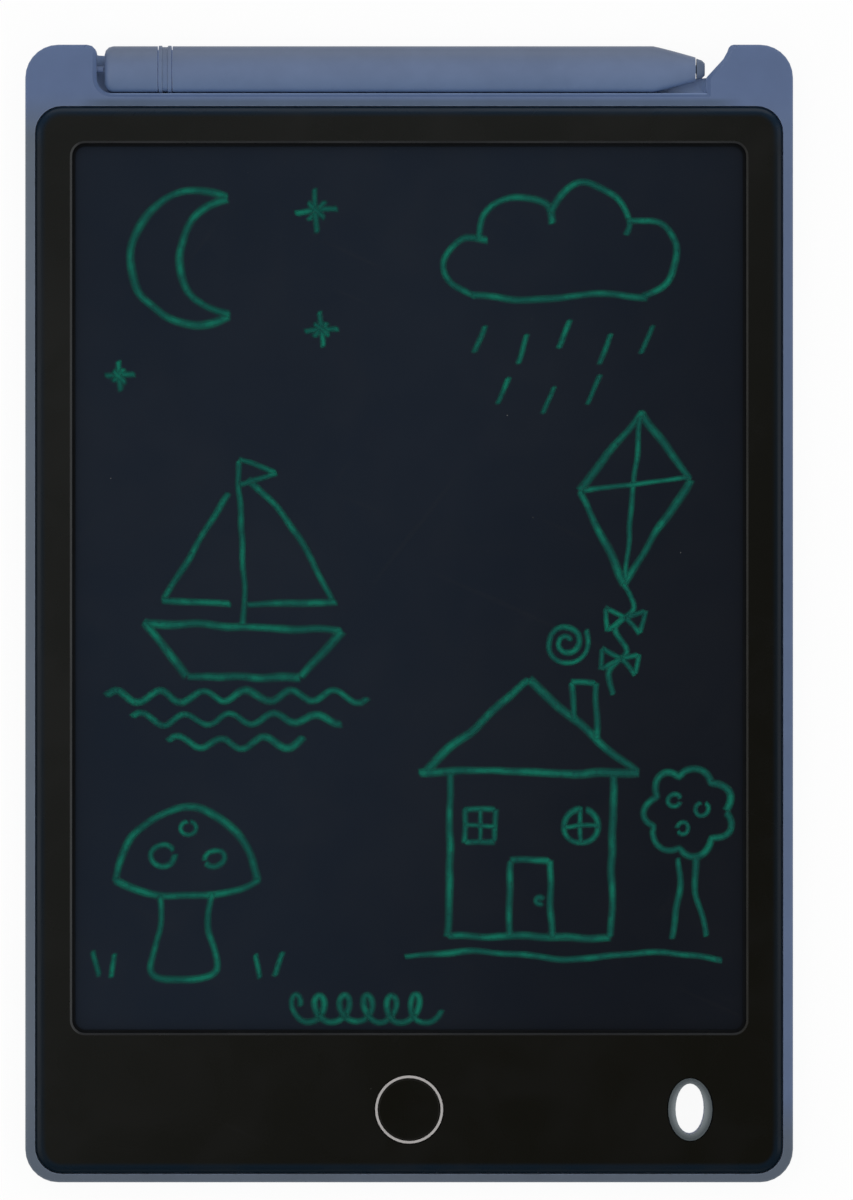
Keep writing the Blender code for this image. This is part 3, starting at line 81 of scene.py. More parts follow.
# Where light and shade are painted on the housing: an axis, where the painted change starts and where it is
# whole.
# SIDEWAYS is the distance from the middle, to the left or to the right.
FRONT = ("Z", SHELL_LOW.z + 1.0 * MM, SHELL_HIGH.z - 0.4 * MM)
# The side rims get a painted sheen, greyer and paler; the foot rim gets painted shade, darker towards the
# bottom.
SIDE_RIMS = ("Y", BEZEL_HIGH.y + 4.0 * MM, BEZEL_HIGH.y - 8.0 * MM)
FOOT_RIM = ("Y", BEZEL_LOW.y + 20.0 * MM, BEZEL_LOW.y + 3.0 * MM)
# STRIP: painted shade on the strip between the frame and the trough.
STRIP = (("Y", BEZEL_HIGH.y - 1.0 * MM, BEZEL_HIGH.y),
         ("Y", BEZEL_HIGH.y + 1.9 * MM, BEZEL_HIGH.y + 1.0 * MM),
         ("SIDEWAYS", 66.0 * MM, 58.0 * MM))
# TROUGH, LONG_WALL and LOW_TROUGH: painted light that makes the trough paler, in place of the light that its
# walls and the stylus shut out.
TROUGH = (("Y", BEZEL_HIGH.y + 2.3 * MM, BEZEL_HIGH.y + 2.7 * MM),
          ("Z", SHELL_HIGH.z - 0.2 * MM, SHELL_HIGH.z - 0.8 * MM),
          ("Z", SHELL_LOW.z + 1.4 * MM, SHELL_LOW.z + 1.75 * MM))
LONG_WALL = (("X", -59.0 * MM, -56.5 * MM), ("X", 57.68 * MM, 57.6 * MM))
LOW_TROUGH = (("Z", SHELL_LOW.z + 4.6 * MM, SHELL_LOW.z + 4.0 * MM),
              ("SIDEWAYS", 61.51 * MM, 61.5 * MM))

# Where light, shade and reflection are painted on the frame
EDGE_ENDS = ((BEZEL_HIGH.y - BEZEL_LOW.y) / 2 - 9.0 * MM, (BEZEL_HIGH.y - BEZEL_LOW.y) / 2 - 3.0 * MM)
SIDE_EDGE_SHARE = 0.45
CHAMFER_SIDES = (63.5 * MM, 65.0 * MM)
CHAMFER_DROP = 0.01 * MM
CHAMFER_INSET = 4.0 * MM

# Wear, dust and scratches
WEAR_TURNS = (0.01, 0.14)
WEAR_GAPS = (0.3, 0.62)
SPECK_SHARE = 0.1
SPECK_SIZE = 0.035
SMUDGE_RANGE = (0.35, 0.7)
HAIRLINE_WAYS = ((24.0, 0.035), (-52.0, 0.05))
HAIRLINE_RANGE = (0.69, 0.75)

# The painted highlights along the joints beside the stylus's band, and what the small pieces carry
JOINT_HIGHLIGHT = (0.04 * MM, 0.24 * MM)
FLEX_TRACK = 0.6 * MM
TRACK_SCALE = 420.0
HOLE_SCALE = 260.0

# The drawn lines, with how fast and how far the hand strays and presses along its way
STROKE_LAYERS = 60
CORE_SHARE = 0.16
HAND_SEED = 8
POINT_STEP = 0.6
OVERSHOOT = 0.25
STRAY_PACE = 0.16
PRESS_PACE = 0.11
PRESS_SWING = 0.22
PRESS_SCALE = 210.0
PRESS_RANGE = (0.42, 0.66)
FADE_SCALE = 1500.0
FADE_RANGE = (0.5, 0.75, 0.0, 0.45)

# The stage, with each lamp's place, size and share of the lamp power
FLOOR_SIZE = 14.0
FLOOR_GAP = 0.05 * MM
UNDER_REACH = 0.4 * MM
CAMERA_HEIGHT = 1.5
PHOTO_HEIGHT = 232.2 * MM
CAMERA_X = 3.36 * MM
CAMERA_Y = 2.61 * MM
SENSOR = 36.0
CEILING_RANGE = (0.12, 0.85)
WALL_RANGE = (0.14, 0.05)
BELOW_RANGE = (0.0, -0.3)
LAMPS = {
    "back_lamp": ((0.05, 1.15, 1.0), (1.6, 0.8), 1.0),
    "left_lamp": ((-1.2, -0.1, 0.85), (0.8, 1.4), 0.62),
    "right_lamp": ((1.2, 0.05, 0.85), (0.8, 1.4), 0.5),
    "front_lamp": ((0.1, -1.3, 0.75), (1.4, 0.7), 0.36),
}


def linear(red, green, blue):
    """A colour with its alpha, from how bright it looks from 0 to 255."""
    values = []
    for value in (red, green, blue):
        share = value / 255
        values.append(share / 12.92 if share <= 0.04045 else ((share + 0.055) / 1.055) ** 2.4)
    return (*values, 1.0)


def shade(name, description, look):
    """A colour setting."""
    return bpy.props.FloatVectorProperty(name=name, description=description, subtype="COLOR", size=4,
                                         min=0.0, max=1.0, default=linear(*look))


def length(name, description, value):
    """A length setting in metres."""
    return bpy.props.FloatProperty(name=name, description=description, default=value, min=0.0,
                                   unit="LENGTH", precision=6)


def share(name, description, value):
    """A plain number setting from 0 to 1."""
    return bpy.props.FloatProperty(name=name, description=description, default=value, min=0.0,
                                   max=1.0, subtype="FACTOR")


class TabletColours(bpy.types.PropertyGroup):
    """The colours of the tablet's pieces"""

    housing: shade("Housing", "Moulded plastic of the housing", (84, 104, 142))
    # Painted sheen: greyer, paler plastic on the rims beside the frame, stronger on the left.
    housing_rim_sheen: shade("Housing rim", "Housing plastic beside the frame", (91, 102, 116))
    # Painted shade: the rim below the frame darker, where less light falls.
    housing_foot_painted_shade: shade("Housing foot", "Housing plastic below the frame", (83, 94, 109))
    # Painted shade: the strip between the frame and the trough darker.
    housing_head_painted_shade: shade("Housing head", "Housing plastic between the frame and the trough", (73, 92, 121))
    # Painted light: the trough paler, in place of the light that its walls and the stylus shut out.
    trough: shade("Trough", "Housing plastic inside the stylus trough", (132, 154, 192))
    housing_worn: shade("Housing edges", "Housing plastic where its edges are rubbed", (112, 126, 152))
    stylus: shade("Stylus", "Moulded plastic of the stylus", (97, 115, 149))
    # Painted sheen and shade: the stylus greyer towards the back and darker towards the frame.
    stylus_back_sheen: shade("Stylus back", "Stylus towards the open side of the trough", (96, 108, 131))
    stylus_front_painted_shade: shade("Stylus front", "Stylus towards the frame", (89, 111, 147))
    # Painted highlight: the paler lines where the band's edges would catch the light.
    stylus_joint_highlight: shade("Stylus joint", "Paler lines on both sides of the band", (138, 162, 208))
    tip: shade("Tip", "Plastic nib of the stylus", (84, 99, 124))
    # Painted shade and light on the rim of the lanyard hole, darker on its outer slope and paler towards the
    # mouth.
    lanyard_rim_painted_shade: shade("Lanyard rim", "Outside of the sloped rim round the lanyard hole", (64, 73, 77))
    lanyard_mouth_painted_light: shade("Lanyard mouth", "Inside of the sloped rim round the lanyard hole", (138, 146, 149))
    # The frame's own black at its top left, and painted shade that darkens it towards the bottom right.
    bezel: shade("Bezel", "Glossy black frame at its top left", (26, 27, 25))
    bezel_painted_shade: shade("Bezel shade", "Glossy black frame at its bottom right", (12, 11, 4))
    # Painted reflection: the bluish outer edge of the frame, with painted shade making it deeper at the
    # bottom.
    bezel_edge_reflection: shade("Bezel edge", "Outer edge of the frame at its top", (8, 31, 49))
    bezel_foot_shaded_reflection: shade("Bezel foot", "Outer edge of the frame at its bottom", (2, 21, 34))
    # Painted highlight on the left of the window's chamfer.
    window_edge_highlight: shade("Window edge", "Chamfer at the left of the frame's window", (48, 50, 51))
    # The film's own colour on the left, and painted shade that darkens it towards the right.
    film: shade("Film", "Writing film on its left", (17, 29, 44))
    film_painted_shade: shade("Film shade", "Writing film on its right", (9, 17, 29))
    stroke: shade("Stroke", "Lines drawn on the film", (5, 80, 71))
    stroke_bright: shade("Bright stroke", "Lines where the nib pressed hard", (3, 106, 87))
    # The black sheet's colour is also laid on the window chamfer above and below as painted shade.
    sheet: shade("Black sheet", "Tape and backing plate", (13, 16, 20))
    ring: shade("Ring", "Trim ring of the button", (204, 200, 198))
    board: shade("Board", "Solder mask of the circuit board", (22, 78, 44))
    copper: shade("Tracks", "Tracks under the solder mask", (46, 118, 66))
    tin: shade("Solder", "Solder on the board's pads", (176, 178, 178))
    hole: shade("Holes", "Holes through the board", (12, 20, 16))
    case: shade("Case", "Moulded black cases of the small parts", (30, 30, 31))
    case_worn: shade("Case edges", "Black cases where their edges are rubbed", (62, 62, 63))
    ferrite: shade("Ferrite", "Core of the coil", (58, 55, 52))
    ceramic: shade("Ceramic", "Capacitors and plunger", (166, 140, 112))
    ceramic_worn: shade("Ceramic edges", "Ceramic where its edges are rubbed", (196, 178, 154))
    steel: shade("Steel", "Screws, cell and switch case", (186, 186, 184))
    steel_worn: shade("Steel edges", "Steel where its edges are rubbed", (222, 222, 220))
    brass: shade("Brass", "Contacts of the cell", (206, 172, 106))
    flex: shade("Flex", "Flexible tail of the film", (172, 108, 42))
    dust: shade("Dust", "Dust that lies in corners and on faces", (122, 122, 118))
    floor: shade("Floor", "Studio floor", (244, 244, 244))


class TabletSizes(bpy.types.PropertyGroup):
    """The sizes of the fine detail on the tablet"""

    grain: length("Grain", "Size of the grain moulded into the housing", 0.34 * MM)
    grain_depth: length("Grain depth", "Depth of the moulded grain", 0.006 * MM)
    wear_reach: length("Wear reach", "How far in from an edge the plastic is rubbed", 0.28 * MM)
    smudge: length("Smudge", "Size of the smudges on glossy faces", 16.0 * MM)
    speck: length("Speck", "Distance between specks of dust", 2.4 * MM)
    hairline: length("Hairline", "Distance between fine scratches", 1.3 * MM)
    # The width of the painted reflection on the frame's outer edge.
    bezel_edge_reflection: length("Bezel edge", "Width of the frame's bluish edge", 2.1 * MM)
    edge_round: length("Edge round", "Rounding of the housing's inner edges", 0.14 * MM)
    stroke_height: length("Stroke height", "Height of a drawn line over the film", 0.012 * MM)
    stroke_step: length("Stroke step", "Rise of each line over the one before it", 0.002 * MM)
    stroke_rise: length("Stroke rise", "Rise of a line along its run", 0.0012 * MM)
    wobble: length("Wobble", "How far the hand strays from a line", 0.28 * MM)


class TabletStage(bpy.types.PropertyGroup):
    """The light on the tablet"""

    lamp_power: bpy.props.FloatProperty(name="Lamp power", description="Power of the strongest lamp",
                                        default=3.2, min=0.0, unit="POWER")
    sky_level: share("Sky level", "Light from the studio overhead", 0.9)
    horizon_level: share("Horizon level", "Light from the studio walls", 0.4)
    mirrored_level: share("Mirrored level", "What glossy faces see of the studio overhead", 0.06)
    below_level: share("Level below", "Light on the tablet's underside", 0.9)
    floor_glow: share("Floor glow", "Share of the floor's white that lies over its shadows", 0.93)


class Graph:
    """Adds nodes to one node tree and links them."""

    def __init__(self, tree):
        self.tree = tree

    def add(self, kind, feeds=None, **settings):
        """A node with its settings, its inputs fed by values or by other nodes' sockets."""
        made = self.tree.nodes.new(kind)
        for name, value in settings.items():
            setattr(made, name, value)
        for socket, value in (feeds or {}).items():
            self.feed(made.inputs[socket], value)
        return made

    def feed(self, socket, value):
        """Links a socket to another, or sets its value."""
        if isinstance(value, bpy.types.NodeSocket):
            self.tree.links.new(value, socket)
        else:
            socket.default_value = value

    def math(self, operation, *values, clamp=False):
        """The result of a sum on numbers."""
        return self.add("ShaderNodeMath", dict(enumerate(values)), operation=operation,
                        use_clamp=clamp).outputs[0]

    def times(self, first, *others):
        """The product of numbers, such as the place where several masks meet."""
        for other in others:
            first = self.math("MULTIPLY", first, other)
        return first

    def axes(self, vector=None):
        """The X, Y and Z of a vector, or of the place on the piece."""
        return self.add("ShaderNodeSeparateXYZ", {"Vector": vector or self.place()}).outputs

    def region(self, *limits):
        """A mask that grows from the first limit to the second one on each of the named axes."""
        axes = self.axes()
        spans = []
        for axis, start, whole in limits:
            value = self.math("ABSOLUTE", axes["X"]) if axis == "SIDEWAYS" else axes[axis]
            spans.append(self.span(value, start, whole))
        return self.times(*spans)

    def vector(self, operation, *values):
        """The result of a sum on vectors."""
        made = self.add("ShaderNodeVectorMath", dict(enumerate(values)), operation=operation)
        return made.outputs[1 if operation in ("DOT_PRODUCT", "LENGTH") else 0]

    def span(self, value, low, high, first=0.0, last=1.0, ease="SMOOTHSTEP"):
        """A value carried from one range into another, and held at its ends."""
        return self.add("ShaderNodeMapRange", {"Value": value, "From Min": low, "From Max": high,
                                               "To Min": first, "To Max": last},
                        interpolation_type=ease).outputs["Result"]

    def mix(self, factor, first, second, blend="MIX"):
        """A colour between two colours, or a colour with a second one blended into it."""
        return self.add("ShaderNodeMix", {0: factor, 6: first, 7: second}, data_type="RGBA",
                        blend_type=blend).outputs[2]

    def noise(self, place, scale, detail=2.0, distortion=0.0):
        """Smooth noise from 0 to 1."""
        return self.add("ShaderNodeTexNoise", {"Vector": place, "Scale": scale, "Detail": detail,
                                               "Distortion": distortion}).outputs[0]

    def place(self):
        """The place on the piece, in metres."""
        return self.add("ShaderNodeTexCoord").outputs["Object"]


def effect(name, inputs, outputs, build):
    """A shader node group, made once, whose build function gives the value of each output."""
    tree = bpy.data.node_groups.get(name)
    if tree is None:
        tree = bpy.data.node_groups.new(name, "ShaderNodeTree")
        for title, value in inputs.items():
            kind = "NodeSocketVector" if isinstance(value, tuple) else "NodeSocketFloat"
            socket = tree.interface.new_socket(name=title, in_out="INPUT", socket_type=kind)
            socket.default_value = value
        for title in outputs:
            tree.interface.new_socket(name=title, in_out="OUTPUT", socket_type="NodeSocketFloat")
        graph = Graph(tree)
        entry = graph.add("NodeGroupInput").outputs
        results = build(graph, entry)
        graph.add("NodeGroupOutput", dict(zip(outputs, results)))
    return tree


def build_grain(graph, entry):
    """Fine bumps, and broad patches of lighter and darker tone."""
    place = graph.place()
    scale = graph.math("DIVIDE", 1.0, entry["Size"])
    fine = graph.noise(place, scale, 3.0)
    broad = graph.noise(place, graph.times(scale, 0.02), 4.0, 0.4)
    middle = graph.noise(place, graph.times(scale, 0.13), 2.0)
    tone = graph.math("ADD", graph.times(broad, 0.7), graph.times(middle, 0.3))
    return fine, graph.span(tone, 0.3, 0.7)


def build_wear(graph, entry):
    """How rubbed an edge is, broken up along its length."""
    rounded = graph.add("ShaderNodeBevel", {"Radius": entry["Reach"]}, samples=6).outputs[0]
    flat = graph.add("ShaderNodeNewGeometry").outputs["Normal"]
    turn = graph.math("SUBTRACT", 1.0, graph.vector("DOT_PRODUCT", rounded, flat))
    breakup = graph.noise(graph.place(), graph.math("DIVIDE", 0.35, entry["Reach"]), 4.0)
    return (graph.times(graph.span(turn, *WEAR_TURNS), graph.span(breakup, *WEAR_GAPS)),)


def build_dust(graph, entry):
    """Single specks of dust, and broad smudges."""
    place = graph.place()
    cells = graph.add("ShaderNodeTexVoronoi",
                      {"Vector": place, "Scale": graph.math("DIVIDE", 1.0, entry["Speck"])})
    chosen = graph.add("ShaderNodeSeparateColor", {"Color": cells.outputs["Color"]}).outputs
    reach = graph.times(chosen[1], SPECK_SIZE)
    speck = graph.times(graph.math("LESS_THAN", cells.outputs["Distance"], reach),
                        graph.math("GREATER_THAN", chosen[0], 1 - SPECK_SHARE))
    smudge = graph.noise(place, graph.math("DIVIDE", 1.0, entry["Smudge"]), 5.0, 0.8)
    return speck, graph.span(smudge, *SMUDGE_RANGE)


def build_hairlines(graph, entry):
    """Fine scratches that run two ways."""
    place = graph.place()
    across = graph.math("DIVIDE", 1.0, entry["Spacing"])
    lines = []
    for angle, length_share in HAIRLINE_WAYS:
        turned = graph.add("ShaderNodeVectorRotate",
                           {"Vector": place, "Angle": math.radians(angle)}, rotation_type="Z_AXIS")
        stretch = graph.add("ShaderNodeCombineXYZ",
                            {"X": graph.times(across, length_share), "Y": across, "Z": across})
        streak = graph.noise(graph.vector("MULTIPLY", turned.outputs[0], stretch.outputs[0]), 1.0, 2.0, 0.15)
        lines.append(graph.span(streak, *HAIRLINE_RANGE))
    return (graph.math("MAXIMUM", *lines),)


def build_outline(graph, entry):
    """How far a place lies outside a rectangle with round corners, seen from the front."""
    offset = graph.vector("ABSOLUTE", graph.vector("SUBTRACT", graph.place(), entry["Centre"]))
    past = graph.axes(graph.vector("SUBTRACT", offset, entry["Half"]))
    x = graph.math("ADD", past["X"], entry["Corner"])
    y = graph.math("ADD", past["Y"], entry["Corner"])
    outer = graph.add("ShaderNodeCombineXYZ", {"X": graph.math("MAXIMUM", x, 0.0),
                                               "Y": graph.math("MAXIMUM", y, 0.0)}).outputs[0]
    inner = graph.math("MINIMUM", graph.math("MAXIMUM", x, y), 0.0)
    reach = graph.math("ADD", graph.vector("LENGTH", outer), inner)
    return (graph.math("SUBTRACT", reach, entry["Corner"]),)


def build_rings(graph, entry):
    """Turned or rolled rings about an upright axis."""
    offset = graph.vector("SUBTRACT", graph.place(), entry["Centre"])
    flat = graph.vector("MULTIPLY", offset, (1.0, 1.0, 0.0))
    radius = graph.math("DIVIDE", graph.vector("LENGTH", flat), entry["Spacing"])
    line = graph.add("ShaderNodeCombineXYZ", {"X": radius}).outputs[0]
    return (graph.noise(line, 1.0, 3.0),)


class Finish(Graph):
    """A material under way, with the colour, the roughness and the height that will reach its shader."""

    def __init__(self, name, colour, roughness, metallic=0.0, shine=0.5):
        self.material = bpy.data.materials.new(name)
        self.material.use_nodes = True
        super().__init__(self.material.node_tree)
        self.tree.nodes.clear()
        self.shader = self.add("ShaderNodeBsdfPrincipled", {"Metallic": metallic,
                                                            "Specular IOR Level": shine})
        self.end = self.add("ShaderNodeOutputMaterial", {"Surface": self.shader.outputs[0]})
        self.colour = tuple(colour)
        self.roughness = roughness
        self.height = None
        self.material.diffuse_color = tuple(colour)

    def use(self, name, inputs, outputs, build):
        """The outputs of one of the shared effects, with this material's own values."""
        tree = effect(name, inputs, outputs, build)
        placed = self.add("ShaderNodeGroup", node_tree=tree)
        for title, value in inputs.items():
            placed.inputs[title].default_value = value
        return [placed.outputs[title] for title in outputs]

    def tint(self, mask, colour):
        """Lays another colour over the one so far, where the mask says."""
        self.colour = self.mix(mask, self.colour, tuple(colour))

    def roughen(self, mask, amount):
        """Makes the surface rougher, or smoother with a negative amount, where the mask says."""
        self.roughness = self.math("ADD", self.roughness, self.times(mask, amount), clamp=True)

    def raise_by(self, mask, depth):
        """Lifts the surface by a depth in metres, where the mask says."""
        lifted = self.times(mask, depth)
        self.height = lifted if self.height is None else self.math("ADD", self.height, lifted)

    def grain(self, size, depth, tone, spread=0.06):
        """Moulded grain, with the colour and the roughness changing a little from patch to patch."""
        fine, patch = self.use("Moulded grain", {"Size": size}, ("Height", "Tone"), build_grain)
        pale = tuple(min(1.0, c * (1 + tone)) for c in self.colour[:3]) + (1.0,)
        deep = tuple(c * (1 - tone) for c in self.colour[:3]) + (1.0,)
        self.colour = self.mix(patch, deep, pale)
        self.roughen(patch, spread)
        self.raise_by(fine, depth)

    def worn(self, reach, colour):
        """Rubbed edges of another colour."""
        (rubbed,) = self.use("Edge wear", {"Reach": reach}, ("Edge",), build_wear)
        self.tint(rubbed, colour)
        self.roughen(rubbed, 0.08)

    def dusty(self, sizes, colour, smudge):
        """Specks of dust, and smudges that change how the face shines."""
        specks, smears = self.use("Dust", {"Speck": sizes.speck, "Smudge": sizes.smudge},
                                  ("Speck", "Smudge"), build_dust)
        self.tint(specks, colour)
        self.roughen(smears, smudge)

    def scratched(self, spacing, depth, rougher):
        """Fine scratches."""
        (lines,) = self.use("Hairlines", {"Spacing": spacing}, ("Line",), build_hairlines)
        self.raise_by(lines, -depth)
        self.roughen(lines, rougher)

    def outline(self, low, high, corner):
        """The distance outside a rectangle with round corners."""
        centre = tuple((low + high) / 2)
        half = tuple((high - low) / 2)
        return self.use("Rounded outline", {"Centre": centre, "Half": half, "Corner": corner},
                        ("Distance",), build_outline)[0]

    def deepen(self, mask, from_colour, to_colour):
        """Turns the colour so far from one colour towards another, where the mask says."""
        change = tuple(b / a for a, b in zip(from_colour[:3], to_colour[:3]))
        self.colour = self.mix(mask, self.colour, (*change, 1.0), "MULTIPLY")

    def across(self, direction, low, high):
        """A mask that grows along a direction, from one distance to another."""
        along = self.vector("DOT_PRODUCT", self.place(), direction)
        stray = self.noise(self.place(), 18.0, 3.0)
        drift = self.math("ADD", along, self.times(stray, 0.05 * (high - low)))
        return self.span(drift, low, high)

    def rings(self, name, spacing, depth):
        """Rings about the upright axis of a node."""
        low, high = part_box(name)
        centre = tuple((low + high) / 2)
        (lines,) = self.use("Rings", {"Centre": centre, "Spacing": spacing}, ("Height",), build_rings)
        self.raise_by(lines, depth)
        return lines

    def thin(self, name):
        """Lets what lies under show through, by how the named number runs over the mesh."""
        amount = self.add("ShaderNodeAttribute", attribute_name=name).outputs["Fac"]
        self.feed(self.shader.inputs["Alpha"], self.span(amount, 0.0, 1.0, ease="LINEAR"))

    def done(self):
        """The material, with its colour, roughness and height linked."""
        self.feed(self.shader.inputs["Base Color"], self.colour)
        self.feed(self.shader.inputs["Roughness"], self.roughness)
        if self.height is not None:
            bump = self.add("ShaderNodeBump", {"Height": self.height, "Distance": 1.0})
            self.feed(self.shader.inputs["Normal"], bump.outputs[0])
        return self.material


def smooth_group():
    """Geometry nodes that join a packed mesh again and shade it smooth over its round stretches."""
    tree = bpy.data.node_groups.get("Smooth round stretches")
    if tree is not None:
        return tree
    tree = bpy.data.node_groups.new("Smooth round stretches", "GeometryNodeTree")
    tree.is_modifier = True
    tree.interface.new_socket(name="Geometry", in_out="INPUT", socket_type="NodeSocketGeometry")
    tree.interface.new_socket(name="Geometry", in_out="OUTPUT", socket_type="NodeSocketGeometry")
    graph = Graph(tree)
    entry = graph.add("NodeGroupInput").outputs[0]
    joined = graph.add("GeometryNodeMergeByDistance", {"Geometry": entry, "Distance": 0.0005 * MM})
    plain = graph.add("GeometryNodeRemoveAttribute", {"Geometry": joined.outputs[0],
                                                      "Name": "custom_normal"})
    smooth = graph.add("GeometryNodeSetShadeSmooth", {"Geometry": plain.outputs[0], "Shade Smooth": True})
    angle = graph.add("GeometryNodeInputMeshEdgeAngle").outputs["Unsigned Angle"]
    sharp = graph.add("FunctionNodeCompare", {0: angle, 1: math.radians(32.0)}, operation="GREATER_THAN")
    creased = graph.add("GeometryNodeSetShadeSmooth", {"Geometry": smooth.outputs[0],
                                                       "Selection": sharp.outputs[0],
                                                       "Shade Smooth": False}, domain="EDGE")
    graph.add("NodeGroupOutput", {0: creased.outputs[0]})
    return tree


def dress(material, *names, edge=0.0):
    """Gives nodes a material and smooth shading, with their hard edges rounded by a small radius."""
    for name in names:
        thing = NODES[name]
        for slot in thing.material_slots:
            slot.material = material
        smooth = thing.modifiers.new("Smooth round stretches", "NODES")
        smooth.node_group = smooth_group()
        if edge:
            flat = thing.modifiers.new("Flat faces", "DECIMATE")
            flat.decimate_type = "DISSOLVE"
            flat.angle_limit = math.radians(0.5)
            bevel = thing.modifiers.new("Edge round", "BEVEL")
            bevel.width = edge
            bevel.segments = 2
            bevel.limit_method = "ANGLE"
            bevel.angle_limit = math.radians(38.0)
            bevel.harden_normals = True


def add_object(name, data, place=(0.0, 0.0, 0.0)):
    """An object in the scene, at a place."""
    thing = bpy.data.objects.new(name, data)
    thing.location = place
    bpy.context.scene.collection.objects.link(thing)
    return thing


def add_mesh(name, shape, material):
    """An object from a bmesh."""
    mesh = bpy.data.meshes.new(name)
    shape.to_mesh(mesh)
    shape.free()
    mesh.materials.append(material)
    return add_object(name, mesh)


# The drawing, in millimetres on the film
def around(x, y, across, up, angle):
    """A point on an ellipse."""
    return x + across * math.cos(angle), y + up * math.sin(angle)


def turn(x, y, across, up, start, end, count=10):
    """Points on part of an ellipse, with angles in degrees."""
    return [around(x, y, across, up, math.radians(start + (end - start) * i / count))
            for i in range(count + 1)]


def wave(left, right, y, rise, pitch):
    """Points on a row of waves."""
    count = int((right - left) / pitch * 6)
    return [(left + (right - left) * i / count,
             y + rise * math.sin(2 * math.pi * (right - left) * i / count / pitch)) for i in range(count + 1)]


def coil(x, y, step, loop, turns):
    """Points on a row of loops."""
    return [around(x + step * i / 12, y, loop * 0.75, loop, 2 * math.pi * i / 12)
            for i in range(turns * 12 + 1)]


def spiral(x, y, start, end, turns):
    """Points on a spiral that opens outwards."""
    count = int(turns * 12)
    points = []
    for i in range(count + 1):
        radius = start + (end - start) * i / count
        points.append(around(x, y, radius, radius, 2 * math.pi * turns * i / count))
    return points


def scallops(x, y, radius, bump, count):
    """Points round the crown of a tree."""
    points = []
    for i in range(count * 8 + 1):
        angle = 2 * math.pi * i / (count * 8)
        reach = radius + bump * abs(math.sin(count * angle / 2))
        points.append(around(x, y, reach, reach, angle))
    return points


def curves(width, *paths):
    """Strokes of one width that run smoothly through their points."""
    return [("curve", width, points) for points in paths]


def straights(width, *paths):
    """Strokes of one width that run straight from point to point."""
    return [("line", width, points) for points in paths]


def twinkle(x, y, reach):
    """A small cross of four lines."""
    strokes = []
    for i in range(4):
        across = reach * (1.0 if i % 2 == 0 else 0.55)
        right, up = around(0.0, 0.0, across, across, math.radians(45 * i + 4))
        strokes += straights(0.75, [(x - right, y - up), (x + right, y + up)])
    return strokes


